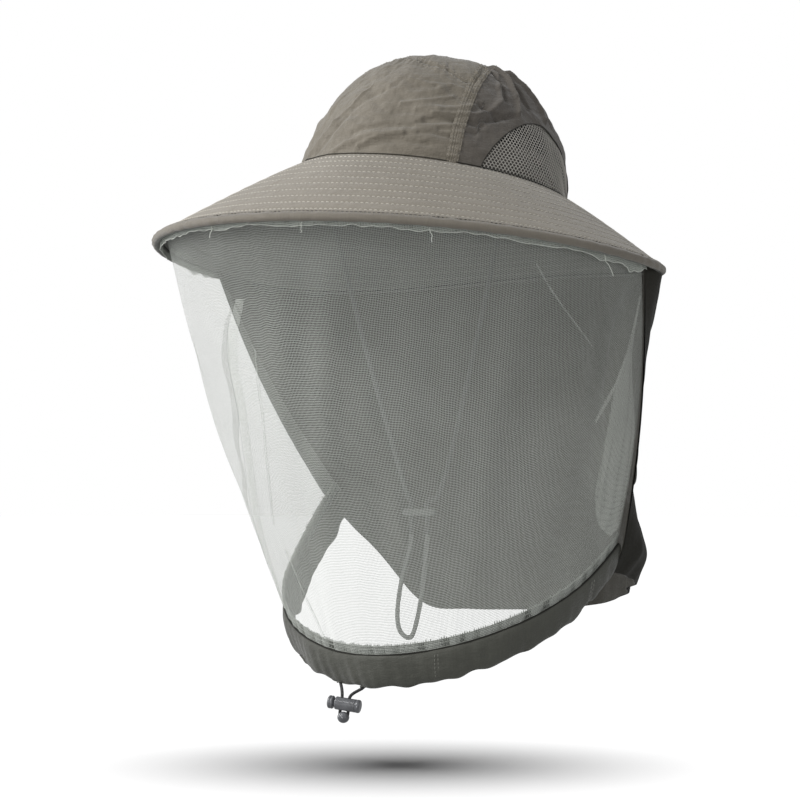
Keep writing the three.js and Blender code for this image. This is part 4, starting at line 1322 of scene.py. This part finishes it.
def add_overlock():
    """The net's lower seam edge: a dense band of zigzag thread over a strip of tape."""
    paths = []
    steps = int(HEM_LONG / 0.8)
    for shift, depth in ((0.0, -0.5), (0.5, -1.4), (0.25, -1.6)):
        share = (np.arange(steps) + shift) / steps
        top = 7.6 + 0.5 * ripples(share * HEM_LONG, 0, 9, 81, 0.0, 0.1)
        top = top + 0.5 * ripples(share * HEM_LONG, 0, 2.5, 82, 0.0, 0.1)
        paths.append(band_point(share, depth, np.where(np.arange(steps) % 2 == 0, -0.9, top)))
    share = np.linspace(0, 1, 400)
    paths += [band_point(share, -0.35, high + 0 * share) for high in (0.6, 4.0, 6.6)]
    band = add_tubes("overlock_threads", paths, 0.36, 5)
    dress(band, OVERLOCK, replaces=["hem_overlock_band"])
    run, rise = np.meshgrid(share, np.linspace(-1.2, 6.6, 6), indexing="ij")
    dress(thicken(grid("overlock_tape", band_point(run, -1.0, rise)), 0.3), OVERLOCK)


# ---- drawcord, buttonholes, bead and lock ----------------------------------------


def hem_share(angle):
    return (angle - NET_BOTTOM[0]) / (NET_BOTTOM[1] - NET_BOTTOM[0])


def cord_path():
    """The whole drawcord: round the right half, down through the lock and bead, round the left."""
    end, turn_in, half = 1.5 * DEG, 1.4 * DEG, STRAND_SPACING / 2
    level = 4 - HEM_HIGH / 2
    right, left = CORD_EXITS
    sleeve = lambda low, high: [on_hem(hem_share(a), 0.0, level) for a in np.linspace(low, high, 13)]
    below = lambda a: on_hem(hem_share(a), 0.0, -HEM_HIGH / 2 - 2)
    tail = [
        below(right),
        in_lock(-half, 0, 6),
        in_lock(-half, 0, -6),
        in_lock(-half * 0.8, 0, 1 - BEAD_DROP),
        in_lock(0, 0, -BEAD_DROP - 1),
        in_lock(half * 0.8, 0, 1 - BEAD_DROP),
        in_lock(half, 0, -6),
        in_lock(half, 0, 6),
        below(left),
    ]
    start = sleeve(NET_BOTTOM[0] + end, right - turn_in)
    finish = sleeve(left + turn_in, NET_BOTTOM[1] - end)
    return smooth_path(np.array(start + tail + finish), 10)


def add_drawcord():
    cord = add_tubes("drawcord_braid", [cord_path()], CORD_RADIUS, 14)
    dress(cord, ELASTIC, replaces=["elastic_drawcord"])
    turn = turns(24)
    for name, angle in zip(("right", "left"), CORD_EXITS):
        middle = on_hem(hem_share(angle), 0.0, -HEM_HIGH / 2 * HEM_FLARE)
        ring = middle + around(2.1, 2.1, turn, 0.3 * np.sin(3 * turn))
        eye = add_tubes(f"buttonhole_ring_{name}", [ring], 0.5, 8, closed=True)
        dress(eye, HEM_CLOTH, replaces=[f"buttonhole_{name}"])


def turned(name, outline, placed, inward=False, segments=64):
    """A turned solid from (radius, along) points; placed says where its axis lies."""
    turn = turns(segments)
    x, y = np.cos(turn), np.sin(turn)
    rings = [placed(radius * x, radius * y, along + 0 * turn) for radius, along in outline]
    return add_mesh(name, np.concatenate(rings), ring_faces(len(outline), segments, inward=inward))


def along_barrel(y, z, x):
    return in_lock(x, y, z)


BARREL_START = 2.2 - LOCK_LENGTH / 2
BARREL_END = BARREL_START + LOCK_LENGTH
PLUNGER_HEAD = BARREL_START - LOCK_TRAVEL - 0.3

# Outlines of the cord lock: how much less than the full radius, and the place along it.
BARREL_NOSE = [(1.3, 0.4), (0.7, 0), (0.2, 0.2), (0, 0.8)]
BARREL_GROOVE = [(0, 0), (0.16, 0.25), (0.16, 0.45), (0, 0.7)]
BARREL_TAIL = [(0, -3.6), (0.45, -3.3), (0.45, -3.0), (-0.05, -2.7), (-0.05, -0.9)]
BARREL_TAIL += [(0.3, -0.3), (1.0, 0), (2.2, 0.1)]
HEAD_OUTLINE = [(2.0, -4.1), (1.0, -4.0), (0.35, -3.6), (0, -3.0), (0, -2.2), (0.5, -2.0), (0.5, -1.6)]
HEAD_OUTLINE += [(0, -1.4), (0, -0.6), (0.6, 0), (1.7, 0)]


def lock_outline(parts, start):
    return [(LOCK_RADIUS - less, start + along) for less, along in parts]


def add_lock():
    outline = lock_outline(BARREL_NOSE, BARREL_START)
    along = BARREL_START + 1.2
    while along < BARREL_END - 4.6:
        outline += lock_outline(BARREL_GROOVE, along)
        along += 1.0
    outline += lock_outline(BARREL_TAIL, BARREL_END)
    barrel = turned("cord_lock_body", outline, along_barrel, inward=True)
    dress(barrel, BLACK, "cord_lock", ["cord_lock_barrel"])
    outline = lock_outline(HEAD_OUTLINE, PLUNGER_HEAD) + lock_outline([(1.7, 2.0)], BARREL_START)
    plunger = turned("cord_lock_button", outline, along_barrel, inward=True)
    dress(plunger, BLACK, "lock_plunger", ["cord_lock_plunger"])
    keep("cord_lock_spring", STEEL)


def add_bead():
    """A ball of moulded plastic with a flat collar where the cord goes in."""
    turn = np.linspace(-88, 88, 33) * DEG
    tall = BEAD_RADIUS * 0.95 * np.sin(turn)
    radius = BEAD_RADIUS * np.cos(turn) - np.where((tall > 1.2) & (tall < 1.9), 0.25, 0)
    bead = turned("cord_end_ball", list(zip(radius, tall - BEAD_DROP)), in_lock, segments=48)
    dress(bead, BLACK, replaces=["cord_end_bead"])


# ---- chin strap ----------------------------------------

TAB_DEPTH, TAB_TURN, STRAP_TOP = 6.6, 77 * DEG, -6.3
TAB_WIDE, TAB_THICK, TAB_LOW, TAB_HIGH = 8.0, 1.6, -6.0, 10.0


def tab_end(side):
    turn = VEIL_TURN + side * TAB_TURN
    point = on_crown(turn, 0.0, TAB_DEPTH)
    point[2] = STRAP_TOP
    return tip_back(point)


STRAP_ENDS = [tab_end(-1), tab_end(1)]
STRAP_SPAN = STRAP_ENDS[1] - STRAP_ENDS[0]
STRAP_TURN = math.atan2(STRAP_SPAN[1], STRAP_SPAN[0])
STRAP_MIDDLE = (STRAP_ENDS[0] + STRAP_ENDS[1]) / 2 * np.array([1, 1, 0])


def in_strap(x, y, z):
    c, s = math.cos(STRAP_TURN), math.sin(STRAP_TURN)
    return np.stack(np.broadcast_arrays(x * c - y * s, x * s + y * c, z), -1) + STRAP_MIDDLE


def flat_band(name, route):
    """A flat woven strap along (x, z) points of the strap's plane, with soft edges."""
    path = resample(smooth_path([(x, 0, z) for x, z in route], 14), 1.5)
    way = np.gradient(path, axis=0)
    way /= np.linalg.norm(way, axis=-1, keepdims=True)
    side = np.stack([way[:, 2], 0 * way[:, 0], -way[:, 0]], -1)
    across, through = boxed(turns(16), STRAP_WIDTH, STRAP_THICK, 0.7, 0.7)
    edge = 1 + 0.05 * np.sin(run_lengths(path) * 2 * math.pi / 1.7)
    points = path[:, None] + side[:, None] * (across[None, :, None] * edge[:, None, None])
    points = in_strap(points[..., 0], points[..., 1] + through, points[..., 2])
    return add_mesh(name, points, ring_faces(len(path), 16, inward=True))


def add_tab(name, side):
    """A folded tab of tape, box-stitched, that holds one end of the strap to the sweatband."""
    turn = VEIL_TURN + side * TAB_TURN
    middle = on_crown(turn, (TAB_LOW + TAB_HIGH) / 2, TAB_DEPTH)
    lean = math.atan2(CROWN_LENGTH * math.sin(turn), CROWN_WIDTH * math.cos(turn))
    c, s = math.cos(lean), math.sin(lean)

    def placed(x, y, z):
        local = np.stack(np.broadcast_arrays(x * c - y * s, x * s + y * c, z), -1)
        return tip_back(local + middle * np.array([1, 1, 0]))

    wide, thick = boxed(np.linspace(0, 2 * math.pi, 29), TAB_WIDE, TAB_THICK, 0.35, 0.35)
    levels = np.linspace(TAB_LOW, TAB_HIGH, 26)
    end = np.clip(np.minimum(levels - TAB_LOW, TAB_HIGH - levels) / 0.8, 0, 1)
    size = 0.25 + 0.75 * np.sqrt(1 - (1 - end) ** 2)
    bulge = 1 - 0.12 * np.cos(levels * 2 * math.pi / 3.4)
    points = placed(wide * (0.9 + 0.1 * size[:, None]), thick * (size * bulge)[:, None], levels[:, None])
    dress(grid(f"{name}_tape", points), LINING, replaces=[name])
    rows = []
    rise = levels * 0.85 + 0.3
    for x in (-TAB_WIDE / 2 + 1.3, TAB_WIDE / 2 - 1.3):
        for face in (1, -1):
            path = placed(x, face * TAB_THICK / 2, rise)
            rows.append((path, placed(x, face * (TAB_THICK / 2 + 1), rise) - path))
    dress(add_stitches(f"{name}_stitches", rows, 1.8, 2.7, 0.22), DARK_STITCH)


def add_chin_strap():
    reach = math.hypot(*STRAP_SPAN[:2]) / 2
    gate = SLIDER_WIDTH / 2 - 6.5
    over = -SLIDER_DROP + SLIDER_HIGH / 2 + 6
    end = -SLIDER_DROP - SLIDER_TRAVEL - 4
    left, right = SLIDER_SHIFT + gate, SLIDER_SHIFT - gate
    for name, top, bends, gate_x, splay in (
        ("left", (reach, STRAP_ENDS[1][2] - 0.3), (53, 24), left, 0.6),
        ("right", (-reach, STRAP_ENDS[0][2] - 0.3), (-46, -11), right, -0.6),
    ):
        route = [top, (bends[0], -112), (bends[1], over + 14)]
        route += [(gate_x + splay, over), (gate_x, over - 6), (gate_x, end)]
        strand = flat_band(f"chin_strap_{name}_webbing", route)
        dress(strand, STRAND, "chin_strap", [f"chin_strap_{name}"])
    foot = end - 0.3
    loop = [(right, foot), (right - 0.5, foot - 8), (-11.5, -284), (-16, -309), (-14.5, -324)]
    loop += [(-7, -330), (-1.5, -325), (5, -299), (left - 0.5, foot - 9), (left, foot)]
    dress(flat_band("chin_strap_loop_webbing", loop), WEBBING, "chin_strap", ["chin_strap_loop"])
    keep("chin_strap_slider", WEBBING)
    add_tab("strap_tab_left", 1)
    add_tab("strap_tab_right", -1)


add_drawcord()
add_lock()
add_bead()
add_crown()
add_crown_seams()
add_tapes()
add_vents()
add_brim()
add_binding()
net_cloth = add_net()
add_pleats()
add_net_edge()
cape_cloth = add_cape()
add_hem()
add_hem_seams()
add_overlock()
add_chin_strap()
add_sweatband()
keep("brim_stiffener", LINING)
keep("brim_edge_wire", STEEL)
